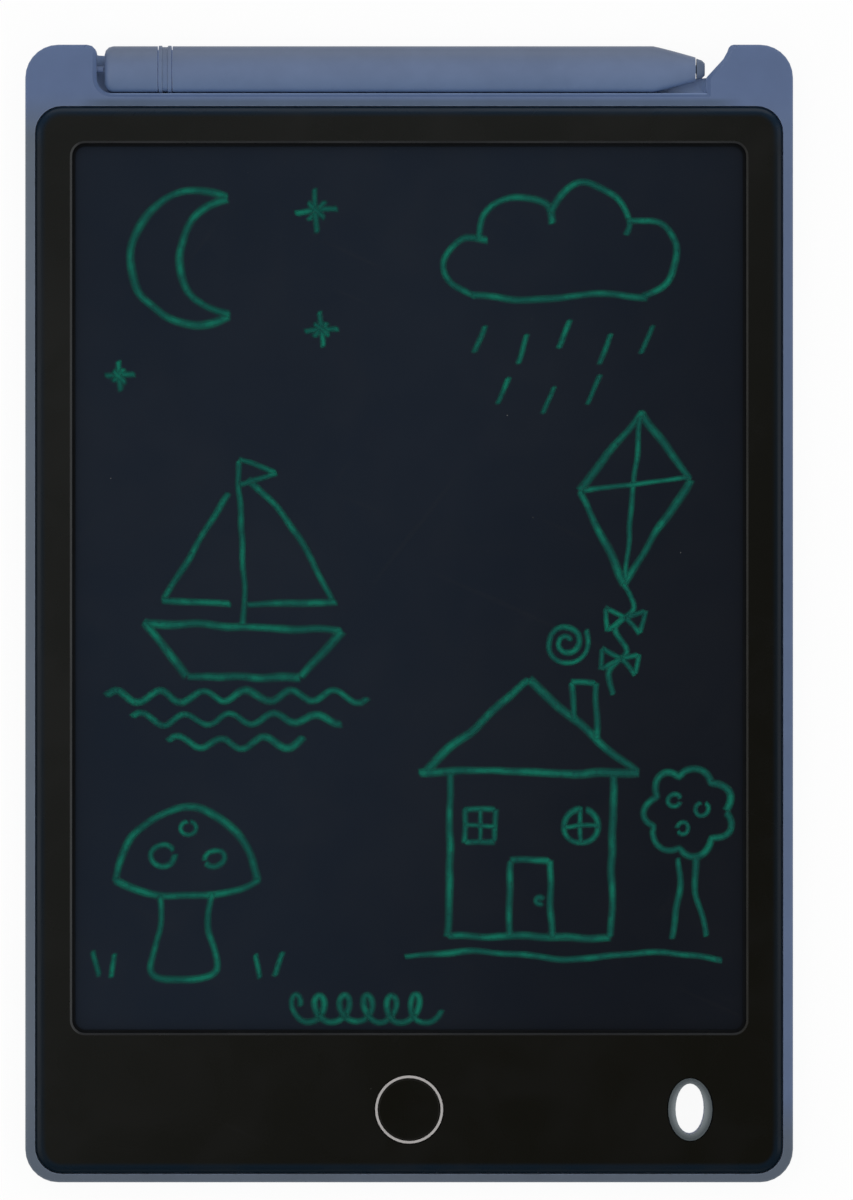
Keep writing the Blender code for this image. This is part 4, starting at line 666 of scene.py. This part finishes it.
def motifs():
    """The strokes of each small drawing: how they run, how wide they are and their points."""
    drops = ((15, 56), (23, 54), (31, 57), (39, 54), (47, 56), (19, 46), (28, 44), (37, 46))
    blades = ((-60, -70, -1.4), (-57.5, -70.6, 0.3), (-29, -70.5, -0.8), (-26, -70.2, 1.4))
    return {
        "moon": curves(1.05, turn(-41, 69, 13, 13, 62, 299, 18))
        + curves(0.95, turn(-33.6, 69, 10.9, 11.3, 96, 265, 14)),
        "twinkles": twinkle(-18, 78, 4.2) + twinkle(-56, 46, 3.2) + twinkle(-17, 55, 3.4),
        "cloud": curves(
            0.9, [(13, 61.5), (8, 63.8), (6.8, 68.6), (10.4, 72.8), (15.2, 72.2)],
            [(13.4, 72.2), (14.6, 77.6), (20, 80.9), (26.2, 79.4), (28, 75.4)],
            [(27.2, 77.8), (32.4, 83.2), (39.4, 81.6), (42.4, 76.4), (41.6, 73.2)],
            [(42.2, 76), (48.4, 75.8), (52, 70.8), (50.4, 64.6), (45.2, 61.6)],
            [(12, 61.8), (23, 60.6), (35, 61.6), (46.4, 61.2)]),
        "rain": straights(0.7, *([(x, y), (x - 2.2, y - 5.5)] for x, y in drops)),
        "kite": straights(0.95, [(45, 39), (54.5, 26), (41.5, 6), (33, 24), (45.4, 39.4)])
        + straights(0.7, [(44.8, 38), (41.8, 7)], [(33.6, 24), (54, 26)])
        + curves(0.75, [(41.5, 6), (43.6, 1.4), (40, -3), (42.4, -7.4), (38.6, -11.4), (39.4, -16)])
        + straights(0.75, [(42, -0.8), (38.2, 1.4), (38.6, -3.2), (42, -0.8), (45.6, 0.6), (44.6, -3.8),
                           (42, -0.8)],
                    [(41, -9), (37.4, -6.8), (37, -11), (41, -9), (44.6, -7.8), (43.8, -12), (41, -9)]),
        "boat": straights(1.0, [(-51, -2), (-13, -3.2), (-21, -12.4), (-43, -12), (-51.4, -1.6)])
        + straights(0.8, [(-32, -2.4), (-33, 30)])
        + curves(0.9, [(-31.4, 26.5), (-22.4, 16.4), (-14.6, 2.2)])
        + straights(0.9, [(-14.2, 2.4), (-31.4, 1.6)])
        + curves(0.85, [(-34.8, 23.4), (-40.4, 14.6), (-47.6, 3)])
        + straights(0.85, [(-48, 2.8), (-34.6, 2)])
        + straights(0.75, [(-33, 30), (-25.6, 27.4), (-33, 25.2)]),
        "waves": curves(0.9, wave(-59, -8, -16, 1.1, 8.5), wave(-54, -13, -20.5, 1.1, 8.5),
                        wave(-47, -20, -25, 1.1, 8.5)),
        "mushroom": curves(1.0, [(-57, -52), (-53.4, -43), (-43.6, -37.6), (-33.4, -42), (-29.2, -52)])
        + curves(0.95, [(-57.2, -51.6), (-50, -54), (-43, -54.6), (-35, -53.8), (-29, -51.6)])
        + curves(0.9, [(-48.4, -54), (-48, -61), (-50, -69.4), (-43.6, -71), (-37, -69.2),
                       (-38.8, -61), (-38.2, -54)])
        + curves(0.75, turn(-47.6, -47, 2.4, 2, 20, 372), turn(-37.8, -47.6, 2, 1.7, 200, 556),
                 turn(-42.8, -41.6, 1.5, 1.2, 90, 446)),
        "grass": straights(0.75, *([(x, y), (x + lean, y + 4.5)] for x, y, lean in blades)),
        "loops": curves(0.85, coil(-23, -76.5, 4.6, 2.6, 6)),
        "house": straights(0.95, [(8, -30), (7.6, -62.4), (39, -63), (39.6, -30.6)])
        + straights(1.0, [(2.6, -31), (23, -13), (44.4, -31), (2, -30.6)])
        + straights(0.85, [(19.6, -62.4), (19.8, -48), (27.4, -47.8), (27.6, -62.8)])
        + curves(0.7, turn(25.4, -55.4, 0.7, 0.7, 0, 330, 6))
        + straights(0.8, [(10.8, -38), (16.6, -38), (16.6, -44.4), (11, -44.6), (10.8, -37.6)])
        + straights(0.65, [(13.8, -38), (13.8, -44.4)], [(10.8, -41.2), (16.6, -41.2)])
        + curves(0.8, turn(33.2, -41.2, 3.4, 3.4, 80, 436, 14))
        + straights(0.65, [(33.2, -37.8), (33.2, -44.6)], [(29.8, -41.2), (36.6, -41.2)])
        + straights(0.85, [(31.6, -20.8), (31.6, -13.4), (36.2, -13.6), (36.2, -24.2)]),
        "smoke": curves(0.75, spiral(30.4, -5.6, 0.6, 4.6, 2.1)),
        "tree": curves(0.9, scallops(54, -38.4, 7, 1.7, 7))
        + curves(0.85, [(52.2, -47), (52.4, -54), (50.6, -63)], [(55.8, -47), (55.6, -54), (57.8, -62.6)])
        + curves(0.7, turn(51.4, -36, 1.2, 1.2, 0, 350, 7), turn(56.6, -38, 1.2, 1.2, 90, 430, 7),
                 turn(53, -41.6, 1.2, 1.2, 200, 545, 7)),
        "ground": curves(0.8, [(-1, -66.6), (14, -65.4), (30, -67), (46, -65.6), (61, -67)]),
    }


def hand_curve(points):
    """Close points on a smooth line through a few points."""
    ends = [points[0], *points, points[-1]]
    line = []
    for before, here, after, beyond in zip(ends, ends[1:], ends[2:], ends[3:]):
        count = max(2, int(math.dist(here, after) / POINT_STEP))
        for i in range(count):
            t = i / count
            weights = (-0.5 * t + t ** 2 - 0.5 * t ** 3, 1 - 2.5 * t ** 2 + 1.5 * t ** 3,
                       0.5 * t + 2 * t ** 2 - 1.5 * t ** 3, -0.5 * t ** 2 + 0.5 * t ** 3)
            line.append(tuple(sum(w * p[axis] for w, p in zip(weights, (before, here, after, beyond)))
                              for axis in (0, 1)))
    return [*line, points[-1]]


def hand_lines(points):
    """Close points on each straight run between corners, carried a little past them."""
    runs = []
    for near, far in zip(points, points[1:]):
        start, end = Vector(near), Vector(far)
        extra = (end - start).normalized() * OVERSHOOT
        start, end = start - extra, end + extra
        count = max(2, int((end - start).length / POINT_STEP))
        runs.append([tuple(start.lerp(end, i / count)) for i in range(count + 1)])
    return runs


def add_stroke(shape, line, width, base, sizes, seed):
    """One drawn line as a ribbon whose edges and ends fade, straying as a hand does."""
    stray = sizes.wobble / MM
    press = shape.verts.layers.float["pressure"]
    path = []
    for x, y in line:
        drift = noise.noise_vector((x * STRAY_PACE, y * STRAY_PACE, seed * 3.7))
        path.append(Vector((x + drift.x * stray * 2, y + drift.y * stray * 2)))
    run = [0.0]
    for near, far in zip(path, path[1:]):
        run.append(run[-1] + (far - near).length)
    rows = []
    for i, spot in enumerate(path):
        ahead = (path[min(i + 1, len(path) - 1)] - path[max(i - 1, 0)]).normalized()
        side = Vector((-ahead.y, ahead.x))
        pressure = 1 + PRESS_SWING * noise.noise((run[i] * PRESS_PACE, seed * 1.3, 0.5))
        reach = 0.95 * width * pressure
        full = min(1.0, min(run[i], run[-1] - run[i]) / (0.5 * width))
        height = base + sizes.stroke_rise * run[i] / run[-1]
        row = []
        for offset, share_pressed in ((1.0, 0.0), (CORE_SHARE, full), (-CORE_SHARE, full), (-1.0, 0.0)):
            edge = (spot + side * offset * reach) * MM
            made = shape.verts.new((edge.x, edge.y, height))
            made[press] = share_pressed
            row.append(made)
        rows.append(row)
    for near, far in zip(rows, rows[1:]):
        for i in range(3):
            shape.faces.new((near[i], near[i + 1], far[i + 1], far[i]))


def settings(context):
    """The colours, the sizes and the stage values of the tablet."""
    scene = context.scene
    return scene.tablet_colours, scene.tablet_sizes, scene.tablet_stage


class TABLET_OT_stage(bpy.types.Operator):
    """Make the floor, the studio's light, the lamps and the camera"""

    bl_idname = "tablet.stage"
    bl_label = "Stage"

    def execute(self, context):
        colours, _, stage = settings(context)
        shape = bmesh.new()
        bmesh.ops.create_grid(shape, x_segments=8, y_segments=8, size=FLOOR_SIZE / 2)
        floor = add_mesh("floor", shape, self.floor_material(colours, stage))
        floor.location.z = CAD_BOX[0].z - FLOOR_GAP
        self.make_world(context, stage)
        for name, (place, size, power) in LAMPS.items():
            self.make_lamp(name, place, size, power * stage.lamp_power)
        self.make_camera(context)
        context.scene.view_settings.view_transform = "Standard"
        return {"FINISHED"}

    def floor_material(self, colours, stage):
        """Matt white paper that keeps the tablet's shadow and is white behind it.

        It is clear from below, and so near under the tablet that its underside is lit and can be seen.
        """
        finish = Finish("Studio paper", colours.floor, 0.85)
        finish.grain(1.2 * MM, 0.01 * MM, 0.01)
        finish.done()
        path = finish.add("ShaderNodeLightPath").outputs
        seen = finish.math("MAXIMUM", finish.math("MAXIMUM", path["Is Camera Ray"], path["Is Glossy Ray"]),
                           path["Is Transmission Ray"])
        glow = finish.add("ShaderNodeEmission", {"Color": (1.0, 1.0, 1.0, 1.0), "Strength": 1.0})
        mixed = finish.add("ShaderNodeMixShader", {0: finish.times(seen, stage.floor_glow),
                                                   1: finish.shader.outputs[0], 2: glow.outputs[0]})
        under = finish.math("MAXIMUM", finish.add("ShaderNodeNewGeometry").outputs["Backfacing"],
                            finish.math("LESS_THAN", path["Ray Length"], UNDER_REACH))
        clear = finish.add("ShaderNodeBsdfTransparent")
        sided = finish.add("ShaderNodeMixShader", {0: under, 1: mixed.outputs[0], 2: clear.outputs[0]})
        finish.feed(finish.end.inputs["Surface"], sided.outputs[0])
        return finish.material

    def make_world(self, context, stage):
        """Pale walls, a soft ceiling that glossy faces see dimly, and plain white behind and below."""
        world = bpy.data.worlds.new("Studio")
        world.use_nodes = True
        world.node_tree.nodes.clear()
        graph = Graph(world.node_tree)
        way = graph.add("ShaderNodeTexCoord").outputs["Generated"]
        height = graph.axes(way)["Z"]
        path = graph.add("ShaderNodeLightPath").outputs
        mirrored = stage.mirrored_level - stage.sky_level
        ceiling = graph.math("ADD", stage.sky_level, graph.times(path["Is Glossy Ray"], mirrored))
        above = graph.span(height, *CEILING_RANGE, stage.horizon_level, ceiling)
        level = graph.math("MAXIMUM", above, graph.span(height, *BELOW_RANGE, 0.0, stage.below_level))
        seen = graph.math("MAXIMUM", path["Is Camera Ray"], path["Is Transmission Ray"])
        wall = graph.times(path["Is Glossy Ray"], graph.span(height, *WALL_RANGE))
        white = graph.math("MAXIMUM", seen, wall)
        grey = graph.add("ShaderNodeCombineColor", {"Red": level, "Green": level, "Blue": level}).outputs[0]
        back = graph.add("ShaderNodeBackground", {"Color": graph.mix(white, grey, (1.0, 1.0, 1.0, 1.0)),
                                                  "Strength": 1.0})
        graph.add("ShaderNodeOutputWorld", {"Surface": back.outputs[0]})
        context.scene.world = world

    def make_lamp(self, name, place, size, power):
        """A large soft lamp that looks at the tablet."""
        lamp = bpy.data.lights.new(name, "AREA")
        lamp.shape = "RECTANGLE"
        lamp.size, lamp.size_y = size
        lamp.energy = power
        thing = add_object(name, lamp, place)
        thing.rotation_euler = (-Vector(place)).to_track_quat("-Z", "Y").to_euler()
        thing.visible_camera = False

    def make_camera(self, context):
        """The camera straight above the film."""
        camera = bpy.data.cameras.new("camera")
        camera.sensor_fit = "VERTICAL"
        camera.sensor_height = SENSOR
        camera.lens = SENSOR * CAMERA_HEIGHT / PHOTO_HEIGHT
        context.scene.camera = add_object("camera", camera,
                                          (CAMERA_X, CAMERA_Y, BEZEL_HIGH.z + CAMERA_HEIGHT))


class TABLET_OT_housing(bpy.types.Operator):
    """Finish the moulded housing and its battery cover"""

    bl_idname = "tablet.housing"
    bl_label = "Housing"

    def execute(self, context):
        colours, sizes, _ = settings(context)
        finish = Finish("Housing plastic", colours.housing, 0.48)
        finish.grain(sizes.grain, sizes.grain_depth, 0.04)
        self.rim_sheen_and_foot_shade(finish, colours)
        self.strip_shade_and_trough_light(finish, colours)
        finish.worn(sizes.wear_reach, colours.housing_worn)
        self.paint_lanyard_light_and_shade(finish, colours)
        finish.dusty(sizes, colours.dust, 0.05)
        dress(finish.done(), "rear_shell", "battery_cover", edge=sizes.edge_round)
        return {"FINISHED"}

    def rim_sheen_and_foot_shade(self, finish, colours):
        """Painted sheen beside the frame, greyer and paler and stronger on the left, and painted shade on the
        rim below the frame.
        """
        painted_light_leftwards = finish.across((-1.0, 0.0, 0.0), -1.6 * SHELL_HIGH.x, 0.4 * SHELL_HIGH.x)
        beside = finish.times(finish.region(FRONT, SIDE_RIMS), painted_light_leftwards)
        below = finish.region(FRONT, FOOT_RIM)
        finish.deepen(finish.math("MAXIMUM", beside, below), colours.housing, colours.housing_rim_sheen)
        finish.deepen(below, colours.housing_rim_sheen, colours.housing_foot_painted_shade)

    def strip_shade_and_trough_light(self, finish, colours):
        """Painted shade on the strip before the trough, and painted light that makes the trough paler on its
        long wall, floor and low ends.
        """
        finish.deepen(finish.region(FRONT, *STRIP), colours.housing, colours.housing_head_painted_shade)
        paler = finish.math("MAXIMUM", finish.region(*LONG_WALL), finish.region(*LOW_TROUGH))
        finish.deepen(finish.times(finish.region(*TROUGH), paler), colours.housing, colours.trough)

    def paint_lanyard_light_and_shade(self, finish, colours):
        """Painted shade and light on the rim that slopes into the lanyard hole: greyer and darker on its
        outer slope, paler towards the mouth.
        """
        offset = finish.vector("SUBTRACT", finish.place(), (*LANYARD_CENTRE, 0.0))
        across, along = LANYARD_HALF
        rim_across, rim_along = LANYARD_RIM
        shrink = (1.0 / (across + rim_across), 1.0 / (along + rim_along), 0.0)
        distance = finish.vector("LENGTH", finish.vector("MULTIPLY", offset, shrink))
        near = finish.math("LESS_THAN", distance, 1.0)
        mask = finish.times(near, finish.math("GREATER_THAN", finish.axes(offset)["Z"], FILM_TOP))
        inwards = finish.span(distance, 1.0, across / (across + rim_across))
        finish.tint(mask, colours.lanyard_rim_painted_shade)
        finish.tint(finish.times(mask, inwards), colours.lanyard_mouth_painted_light)


class TABLET_OT_bezel(bpy.types.Operator):
    """Finish the glossy black frame"""

    bl_idname = "tablet.bezel"
    bl_label = "Bezel"

    def execute(self, context):
        colours, sizes, _ = settings(context)
        finish = Finish("Bezel gloss", colours.bezel, 0.2, shine=0.4)
        finish.grain(4.0 * MM, 0.001 * MM, 0.1)
        # Painted shade: the frame darker towards its bottom right, where less light falls.
        darker = finish.across((0.8, -0.6, 0.0), -0.06, 0.1)
        finish.deepen(darker, colours.bezel, colours.bezel_painted_shade)
        distance = finish.outline(BEZEL_LOW, BEZEL_HIGH, BEZEL_CORNER)
        self.paint_edge_reflection(finish, colours, sizes, distance)
        self.paint_chamfer_light_and_shade(finish, colours, distance)
        finish.dusty(sizes, colours.dust, 0.12)
        finish.scratched(sizes.hairline, 0.0004 * MM, 0.05)
        dress(finish.done(), "front_bezel")
        return {"FINISHED"}

    def paint_edge_reflection(self, finish, colours, sizes, distance):
        """Painted reflection on the bluish outer edge, fainter at the sides, with painted shade making it
        deeper at the bottom.
        """
        middle = (BEZEL_LOW.y + BEZEL_HIGH.y) / 2
        away = finish.math("ABSOLUTE", finish.math("SUBTRACT", finish.axes()["Y"], middle))
        edge = finish.times(finish.span(away, *EDGE_ENDS, SIDE_EDGE_SHARE, 1.0),
                            finish.span(distance, -sizes.bezel_edge_reflection, -0.33 * sizes.bezel_edge_reflection))
        finish.tint(edge, colours.bezel_edge_reflection)
        downwards = finish.across((0.0, -1.0, 0.0), BEZEL_LOW.y, BEZEL_HIGH.y)
        finish.tint(finish.times(edge, downwards), colours.bezel_foot_shaded_reflection)

    def paint_chamfer_light_and_shade(self, finish, colours, distance):
        """Painted light and shade on the chamfer round the window: painted shade above and below, and a
        painted highlight on the left.
        """
        place = finish.axes()
        chamfer = finish.times(finish.math("LESS_THAN", place["Z"], BEZEL_HIGH.z - CHAMFER_DROP),
                               finish.math("LESS_THAN", distance, -CHAMFER_INSET))
        beside = finish.span(finish.math("ABSOLUTE", place["X"]), *CHAMFER_SIDES)
        # Painted shade: the black sheet's colour laid on the chamfer above and below.
        finish.tint(finish.times(chamfer, finish.math("SUBTRACT", 1.0, beside)), colours.sheet)
        painted_light_leftwards = finish.math("LESS_THAN", place["X"], 0.0)
        finish.tint(finish.times(chamfer, beside, painted_light_leftwards), colours.window_edge_highlight)


class TABLET_OT_button(bpy.types.Operator):
    """Finish the erase button and its trim ring"""

    bl_idname = "tablet.button"
    bl_label = "Button"

    def execute(self, context):
        colours, sizes, _ = settings(context)
        # The cap takes the frame's painted-shade colour from its bottom right.
        cap = Finish("Button gloss", colours.bezel_painted_shade, 0.2, shine=0.4)
        cap.grain(3.0 * MM, 0.001 * MM, 0.1)
        cap.dusty(sizes, colours.dust, 0.14)
        dress(cap.done(), "erase_button")
        ring = Finish("Ring trim", colours.ring, 0.34, metallic=0.35)
        ring.grain(0.5 * MM, 0.003 * MM, 0.05)
        ring.rings("button_ring", 0.06 * MM, 0.002 * MM)
        dress(ring.done(), "button_ring")
        return {"FINISHED"}


class TABLET_OT_window(bpy.types.Operator):
    """Finish the writing film, the black tape round it and the plate behind it"""

    bl_idname = "tablet.window"
    bl_label = "Window"

    def execute(self, context):
        colours, sizes, _ = settings(context)
        film = Finish("Writing film", colours.film, 0.3, shine=0.4)
        film.grain(0.9 * MM, 0.0006 * MM, 0.04)
        # Painted shade: the film darker towards its right and bottom, where less light falls.
        film.deepen(film.across((0.94, -0.34, 0.0), -0.02, 0.08), colours.film, colours.film_painted_shade)
        film.dusty(sizes, colours.dust, 0.04)
        film.scratched(sizes.hairline * 1.6, 0.0002 * MM, 0.05)
        dress(film.done(), "writing_film")
        sheet = Finish("Black sheet", colours.sheet, 0.7, shine=0.15)
        sheet.grain(0.5 * MM, 0.003 * MM, 0.2)
        dress(sheet.done(), "film_tape", "backing_plate")
        return {"FINISHED"}


class TABLET_OT_drawing(bpy.types.Operator):
    """Draw the small pictures on the film"""

    bl_idname = "tablet.drawing"
    bl_label = "Drawing"

    def execute(self, context):
        colours, sizes, _ = settings(context)
        ink = Finish("Drawn line", colours.stroke, 0.3, shine=0.2)
        place = ink.place()
        pressed = ink.noise(place, PRESS_SCALE, 3.0)
        ink.tint(ink.span(pressed, *PRESS_RANGE), colours.stroke_bright)
        faded = ink.noise(place, FADE_SCALE, 4.0)
        ink.tint(ink.span(faded, *FADE_RANGE), colours.film)
        ink.raise_by(faded, 0.002 * MM)
        ink.thin("pressure")
        material = ink.done()
        noise.seed_set(HAND_SEED)
        seed = 0
        layer = 0
        for motif, strokes in motifs().items():
            shape = bmesh.new()
            shape.verts.layers.float.new("pressure")
            for kind, width, points in strokes:
                for line in [hand_curve(points)] if kind == "curve" else hand_lines(points):
                    base = FILM_TOP + sizes.stroke_height + sizes.stroke_step * layer
                    add_stroke(shape, line, width, base, sizes, seed)
                    layer = (layer + 1) % STROKE_LAYERS
                seed += 1
            drawn = add_mesh(f"drawing_{motif}", shape, material)
            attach(drawn, "tablet")
        top = sizes.stroke_height + sizes.stroke_rise + sizes.stroke_step * STROKE_LAYERS
        if FILM_TOP + top > TAPE_BOTTOM:
            raise RuntimeError("The drawn lines rise into the tape over the film")
        return {"FINISHED"}


class TABLET_OT_stylus(bpy.types.Operator):
    """Finish the stylus: its end cap, ringed band, barrel and tip"""

    bl_idname = "tablet.stylus"
    bl_label = "Stylus"

    def execute(self, context):
        colours, sizes, _ = settings(context)
        finish = Finish("Stylus plastic", colours.stylus, 0.4)
        finish.grain(sizes.grain * 0.8, sizes.grain_depth * 0.7, 0.05)
        # Painted light and shade: a greyer sheen towards the back of the stylus, and painted shade on its
        # side towards the frame.
        middle = (BARREL_LOW.y + BARREL_HIGH.y) / 2
        back = finish.across((0.0, 1.0, 0.0), middle, BARREL_HIGH.y)
        finish.deepen(back, colours.stylus, colours.stylus_back_sheen)
        front = finish.across((0.0, -1.0, 0.0), -middle, -BARREL_LOW.y)
        finish.deepen(front, colours.stylus, colours.stylus_front_painted_shade)
        finish.tint(self.joint_highlights(finish), colours.stylus_joint_highlight)
        finish.worn(sizes.wear_reach, colours.housing_worn)
        finish.dusty(sizes, colours.dust, 0.06)
        finish.scratched(sizes.hairline, 0.001 * MM, 0.06)
        dress(finish.done(), "stylus_barrel", "stylus_band", "stylus_end_cap")
        tip = Finish("Tip plastic", colours.tip, 0.5)
        tip.grain(sizes.grain * 0.5, sizes.grain_depth, 0.08)
        tip.scratched(sizes.hairline * 0.5, 0.002 * MM, 0.12)
        dress(tip.done(), "stylus_tip")
        return {"FINISHED"}

    def joint_highlights(self, finish):
        """A mask of the painted highlights along the two narrow joints beside the band."""
        low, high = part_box("stylus_band")
        half = (high.x - low.x) / 2
        away = finish.math("ABSOLUTE", finish.math("SUBTRACT", finish.axes()["X"], (low.x + high.x) / 2))
        return finish.times(finish.math("GREATER_THAN", away, half - JOINT_HIGHLIGHT[0]),
                            finish.math("LESS_THAN", away, half + JOINT_HIGHLIGHT[1]))


class TABLET_OT_electronics(bpy.types.Operator):
    """Finish the circuit board, what is soldered on it and the film's tail"""

    bl_idname = "tablet.electronics"
    bl_label = "Electronics"

    def execute(self, context):
        colours, sizes, _ = settings(context)
        dress(self.board_material(colours), "circuit_board")
        case = Finish("Moulded case", colours.case, 0.5)
        case.grain(0.12 * MM, 0.004 * MM, 0.12)
        case.worn(0.12 * MM, colours.case_worn)
        dress(case.done(), "drive_chip", "push_switch_case", "lock_slider")
        ferrite = Finish("Ferrite core", colours.ferrite, 0.6)
        ferrite.grain(0.09 * MM, 0.008 * MM, 0.25)
        ferrite.roughen(ferrite.rings("boost_inductor", 0.12 * MM, 0.01 * MM), 0.1)
        dress(ferrite.done(), "boost_inductor")
        ceramic = Finish("Ceramic", colours.ceramic, 0.45)
        ceramic.grain(0.1 * MM, 0.003 * MM, 0.12)
        ceramic.worn(0.1 * MM, colours.ceramic_worn)
        dress(ceramic.done(), "capacitor_left", "capacitor_right", "push_switch_plunger")
        flex = Finish("Flexible tail", colours.flex, 0.32)
        flex.grain(0.4 * MM, 0.002 * MM, 0.1)
        track = flex.math("PINGPONG", flex.axes()["X"], FLEX_TRACK)
        flex.tint(flex.math("GREATER_THAN", track, 0.6 * FLEX_TRACK), colours.brass)
        dress(flex.done(), "film_tail")
        return {"FINISHED"}

    def board_material(self, colours):
        """Green solder mask over tracks, with tinned holes between them."""
        board = Finish("Circuit board", colours.board, 0.34)
        board.grain(0.3 * MM, 0.003 * MM, 0.08)
        cells = board.add("ShaderNodeTexVoronoi", {"Vector": board.place(), "Scale": TRACK_SCALE},
                          feature="DISTANCE_TO_EDGE").outputs["Distance"]
        track = board.math("LESS_THAN", cells, 0.07)
        board.tint(track, colours.copper)
        board.raise_by(track, 0.02 * MM)
        holes = board.add("ShaderNodeTexVoronoi", {"Vector": board.place(), "Scale": HOLE_SCALE,
                                                   "Randomness": 0.7}).outputs["Distance"]
        board.tint(board.math("LESS_THAN", holes, 0.12), colours.tin)
        board.tint(board.math("LESS_THAN", holes, 0.06), colours.hole)
        return board.done()


class TABLET_OT_metal(bpy.types.Operator):
    """Finish the coin cell, its contacts, the switch case and the screws"""

    bl_idname = "tablet.metal"
    bl_label = "Metal pieces"

    def execute(self, context):
        colours, sizes, _ = settings(context)
        cell = Finish("Rolled steel", colours.steel, 0.26, metallic=1.0)
        cell.grain(0.6 * MM, 0.001 * MM, 0.06, 0.12)
        cell.rings("coin_cell", 0.1 * MM, 0.002 * MM)
        cell.scratched(sizes.hairline * 0.6, 0.001 * MM, 0.15)
        dress(cell.done(), "coin_cell")
        brass = Finish("Sprung brass", colours.brass, 0.3, metallic=1.0)
        brass.grain(0.2 * MM, 0.002 * MM, 0.1, 0.14)
        brass.scratched(sizes.hairline * 0.4, 0.001 * MM, 0.12)
        dress(brass.done(), "battery_contact_upper", "battery_contact_side")
        steel = Finish("Plated steel", colours.steel, 0.34, metallic=1.0)
        steel.grain(0.15 * MM, 0.003 * MM, 0.12, 0.15)
        steel.worn(0.1 * MM, colours.steel_worn)
        dress(steel.done(), "battery_cover_screw", "board_screw_left", "board_screw_right",
              "lock_switch_case")
        return {"FINISHED"}


STEPS = (TABLET_OT_stage, TABLET_OT_housing, TABLET_OT_bezel, TABLET_OT_button, TABLET_OT_window,
         TABLET_OT_drawing, TABLET_OT_stylus, TABLET_OT_electronics, TABLET_OT_metal)
GROUPS = {"tablet_colours": TabletColours, "tablet_sizes": TabletSizes, "tablet_stage": TabletStage}


class TABLET_PT_sidebar(bpy.types.Panel):
    """The tablet's settings and its operators"""

    bl_idname = "TABLET_PT_sidebar"
    bl_label = "Writing tablet"
    bl_space_type = "VIEW_3D"
    bl_region_type = "UI"
    bl_category = "Writing tablet"

    def draw(self, context):
        """Lists the operators, then the settings."""
        for step in STEPS:
            self.layout.operator(step.bl_idname)
        for name, group in GROUPS.items():
            box = self.layout.box()
            box.label(text=group.__doc__)
            for setting in group.__annotations__:
                box.prop(getattr(context.scene, name), setting)


def register():
    """Adds the settings, the operators and the panel."""
    for group in (*GROUPS.values(), *STEPS, TABLET_PT_sidebar):
        bpy.utils.register_class(group)
    for name, group in GROUPS.items():
        setattr(bpy.types.Scene, name, bpy.props.PointerProperty(type=group))


def unregister():
    """Takes them away again."""
    for name in GROUPS:
        delattr(bpy.types.Scene, name)
    for group in (TABLET_PT_sidebar, *reversed(STEPS), *GROUPS.values()):
        bpy.utils.unregister_class(group)


def main():
    """Runs every operator."""
    register()
    for step in STEPS:
        family, name = step.bl_idname.split(".")
        getattr(getattr(bpy.ops, family), name)()


if __name__ == "__main__":
    main()
